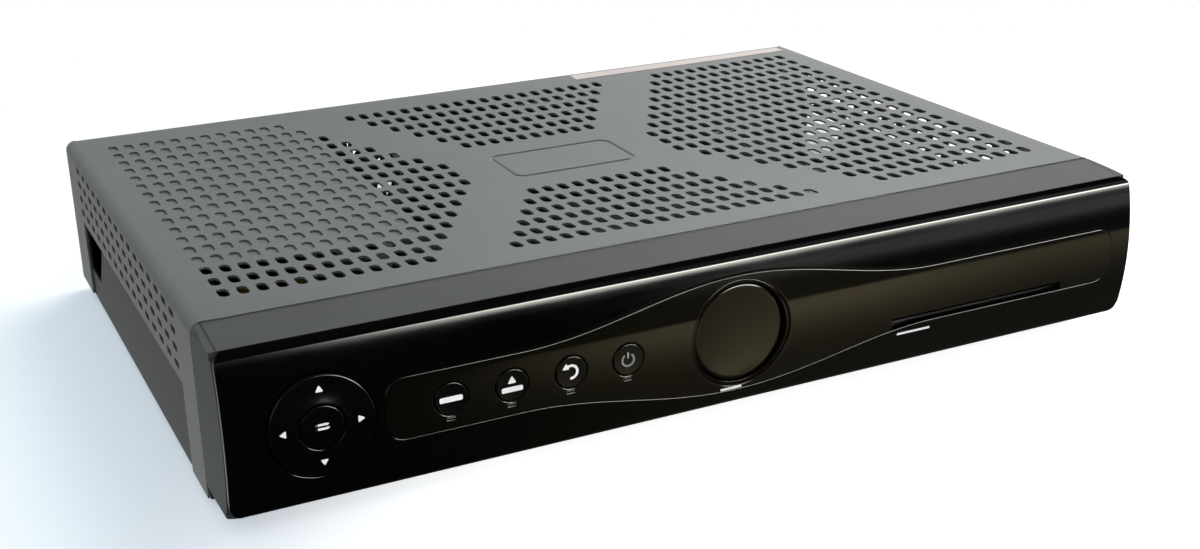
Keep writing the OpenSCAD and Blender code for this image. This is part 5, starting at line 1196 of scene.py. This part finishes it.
def rounded_line(width, height, radius, deep=0.0, long=60, short=20, arc=4):
    """A rectangle with round corners as a closed line, starting half way round its lower left
    corner, with the same number of steps along each side whatever its size."""
    line = []
    for k, (sx, sy) in enumerate([(-1, -1), (1, -1), (1, 1), (-1, 1)]):
        centre = np.array([sx * (width / 2 - radius), sy * (height / 2 - radius)])
        onward = np.array([-sy * (width / 2 - radius), sx * (height / 2 - radius)])
        turn = np.radians(225 + 90 * k + 45 * np.arange(arc) / arc)
        first = centre + radius * np.stack([np.cos(turn), np.sin(turn)], 1)
        away = radius * np.array([np.cos(np.radians(270 + 90 * k)), np.sin(np.radians(270 + 90 * k))])
        run = (long, short)[k % 2] - 2 * arc
        straight = centre + away + (onward - centre) * (np.arange(run) / run)[:, None]
        turn = np.radians(270 + 90 * k + 45 * np.arange(arc) / arc)
        line += [first, straight, onward + radius * np.stack([np.cos(turn), np.sin(turn)], 1)]
    line = np.concatenate(line)
    return np.column_stack([line, np.full(len(line), deep)])


def crest(width, height, centre_y):
    """The plain middle of the X: rings from a rectangle of the sheet's own lines to the pressed
    outline and over its groove, and inside it a grid blended between its four sides. Places are
    across, along and up."""
    long, short, count = 60, 20, 160
    rings = [rounded_line(width, height, 1e-6)]
    slopes = [(7 * mm, 0.0), (3 * mm, 0.0)]
    slopes += [(-groove_half * t, -groove_deep * np.cos(t * np.pi / 2) ** 2) for t in np.linspace(-1, 1, 9)]
    for grow, deep in slopes:
        rings.append(rounded_line(outline_wide + grow, outline_high + grow, outline_corner + grow / 2, deep))
    k = np.arange(count)
    n = (k + 1) % count
    faces = [np.stack([k, n, count + n, count + k], 1) + count * r for r in range(len(rings) - 1)]
    edge = np.concatenate([rings[-1], rings[-1][:1]])[:, :2]
    low, right = edge[: long + 1], edge[long : long + short + 1]
    high, left = edge[long + short : 2 * long + short + 1][::-1], edge[2 * long + short :][::-1]
    u, v = np.linspace(0, 1, long + 1)[:, None, None], np.linspace(0, 1, short + 1)[None, :, None]
    inner = (1 - v) * low[:, None] + v * high[:, None] + (1 - u) * left[None] + u * right[None]
    inner -= (1 - u) * ((1 - v) * low[0] + v * high[0]) + u * ((1 - v) * low[-1] + v * high[-1])
    inner = inner.reshape(-1, 2)
    _, cells = grid_of(np.arange(long + 1), np.arange(short + 1))
    places = np.concatenate(rings + [np.column_stack([inner, np.zeros(len(inner))])])
    places[:, 1] += centre_y
    return places, np.concatenate(faces + [cells + count * len(rings)])


def cover_parts():
    """The whole sheet as laid-out parts that share their border lines, each folded."""
    parts = []

    def lay(flat, faces, both=False):
        rise = flat[:, 2] if flat.shape[1] == 3 else 0.0
        parts.append((folded(flat, rise), faces))
        if both:
            parts.append((folded(flat * [-1, 1], rise), faces[:, ::-1]))

    i, j = np.meshgrid(np.arange(vent_columns), np.arange(vent_rows), indexing="ij")
    from_side = np.minimum(i, vent_columns - 1 - i)
    from_end = np.minimum(j, vent_rows - 1 - j)
    vents = from_side < 12 + np.minimum(from_end, 7)
    vents |= (from_end < 6) & (from_side >= 16 + from_end)
    plain_columns, plain_rows = 10, 5
    plain = (from_side >= (vent_columns - plain_columns) // 2) & (from_end >= (vent_rows - plain_rows) // 2)
    left, low = -vent_columns / 2 * pitch_x, vent_y - vent_rows / 2 * pitch_y
    lay(*pierced(vents, plain, (pitch_x, pitch_y), top_vent, (left, low)))
    lay(*crest(plain_columns * pitch_x, plain_rows * pitch_y, vent_y))

    u_lines = np.linspace(left, -left, 6 * vent_columns + 1)
    y_lines = low + np.arange(4 * vent_rows + 1) * pitch_y / 4
    front_lines = np.linspace(cover_low.y, low, 5)
    rear_lines = np.linspace(y_lines[-1], rear_line, 5)
    lay(*grid_of(u_lines, front_lines))
    lay(*grid_of(u_lines, rear_lines))
    all_lines = np.concatenate([front_lines[:-1], y_lines, rear_lines[1:]])
    lay(*grid_of(np.linspace(-left, flat_half, 4), all_lines), both=True)

    # Sides: the fold, four rows of smaller vents, the lower edge, and a strip at each end
    side_columns, side_rows, hair = 4, 16, 0.01 * mm
    vents_high_z, band_low_z, strip_front_y, strip_rear_y = 64.2 * mm, 38 * mm, -82.5 * mm, 98.9 * mm
    upright = flat_half + arc_reach + (cover_top - fold_radius)  # less a height, gives the way to it
    first, band_end = upright - vents_high_z, upright - band_low_z
    side_lines = np.append(all_lines, cover_high.y)
    lay(*grid_of(np.linspace(flat_half, first, 6), side_lines), both=True)
    band_low, band_high = vent_y - side_rows / 2 * pitch_y, vent_y + side_rows / 2 * pitch_y
    every = np.ones((side_columns, side_rows), bool)
    lay(*pierced(every, ~every, (side_pitch, pitch_y), side_vent, (first, band_low)), both=True)
    band_lines = first + np.arange(6 * side_columns + 1) * side_pitch / 6
    lay(*grid_of(band_lines, side_lines[side_lines < band_low + hair]), both=True)
    lay(*grid_of(band_lines, side_lines[side_lines > band_high - hair]), both=True)
    lay(*grid_of(np.linspace(band_lines[-1], band_end, 3), side_lines), both=True)
    strip_lines = np.linspace(band_end, flat_half + arc_reach + cover_top - fold_radius - cover_low.z, 9)
    lay(*grid_of(strip_lines, side_lines[side_lines < strip_front_y]), both=True)
    lay(*grid_of(strip_lines, side_lines[side_lines > strip_rear_y]), both=True)

    # Rear flange, folded down behind the rear panel
    flap_u = np.concatenate([np.linspace(-flat_half, left, 4)[:-1], u_lines, np.linspace(-left, flat_half, 4)[1:]])
    turn = np.linspace(0, np.pi / 2, 5)
    flap_y = rear_line + rear_radius * np.concatenate([np.sin(turn), np.ones(3)])
    flap_z = np.concatenate([-rear_radius * (1 - np.cos(turn)), -rear_radius - np.linspace(0, rear_flange, 4)[1:]])
    flat, faces = grid_of(flap_u, np.arange(8))
    row = flat[:, 1].astype(int)
    drop = dish(flat[:, 0], np.full(len(flat), rear_line)) * np.clip(1 - row / 4, 0, 1)
    parts.append((np.column_stack([flat[:, 0], flap_y[row], cover_top + flap_z[row] - drop]), faces))
    return parts


def thickened(piece, thickness):
    """Gives a sheet its thickness on its lower side, as a modifier."""
    made = piece.modifiers.new("sheet", "SOLIDIFY")
    made.thickness = thickness
    made.offset = -1.0
    return made


cover_paint = coated("cover_paint", (0.092, 0.096, 0.093), rough=0.40, drift=0.06, size=0.7, dusty=0.12, worn=0.7,
                     bare=(0.42, 0.42, 0.38), worn_width=0.35, Specular_IOR_Level=0.5)
points, faces = joined(*cover_parts())
used, faces = np.unique(faces, return_inverse=True)
cover = finished("steel_cover", (points[used], faces.reshape(-1, 4)), cover_paint, "case",
                 stands_for=["top_cover"], merge=0.02 * mm)
thickened(cover, sheet_thick).use_even_offset = True
bpy.context.view_layer.update()
solid = bpy.data.meshes.new_from_object(cover.evaluated_get(bpy.context.evaluated_depsgraph_get()))
cover.modifiers.clear()
cover.data = solid
solid.set_sharp_from_angle(angle=sharp_angle)

# Blanking sheet: grey plastic film stuck under the vents over the power supply, dished as the
# cover is.
blank_low, blank_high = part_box("blanking_sheet")
blanking_film = coated("blanking_film", (0.20, 0.20, 0.195), rough=0.7, drift=0.12, size=0.4, depth=0.05, dusty=0.2,
                       Specular_IOR_Level=0.2)
flat, faces = grid_of(np.linspace(blank_low.x, blank_high.x, 40), np.linspace(blank_low.y, blank_high.y, 60))
blank = finished("vent_blank", (folded(flat, -sheet_thick), faces), blanking_film, "case",
                 stands_for=["blanking_sheet"])
thickened(blank, 0.4 * mm)

# Film strip: a thin plastic film stuck along the rear edge on the right, bare, without any
# print.
strip_film = coated("strip_film", (0.60, 0.50, 0.47), rough=0.35, drift=0.06, size=0.6, depth=0.01, dusty=0.25)
flat, faces = grid_of(np.linspace(56, 175, 120) * mm, np.linspace(112.6, 120.6, 9) * mm)
thickened(finished("blank_strip", (folded(flat, 0.08 * mm), faces), strip_film, "case"), 0.06 * mm)
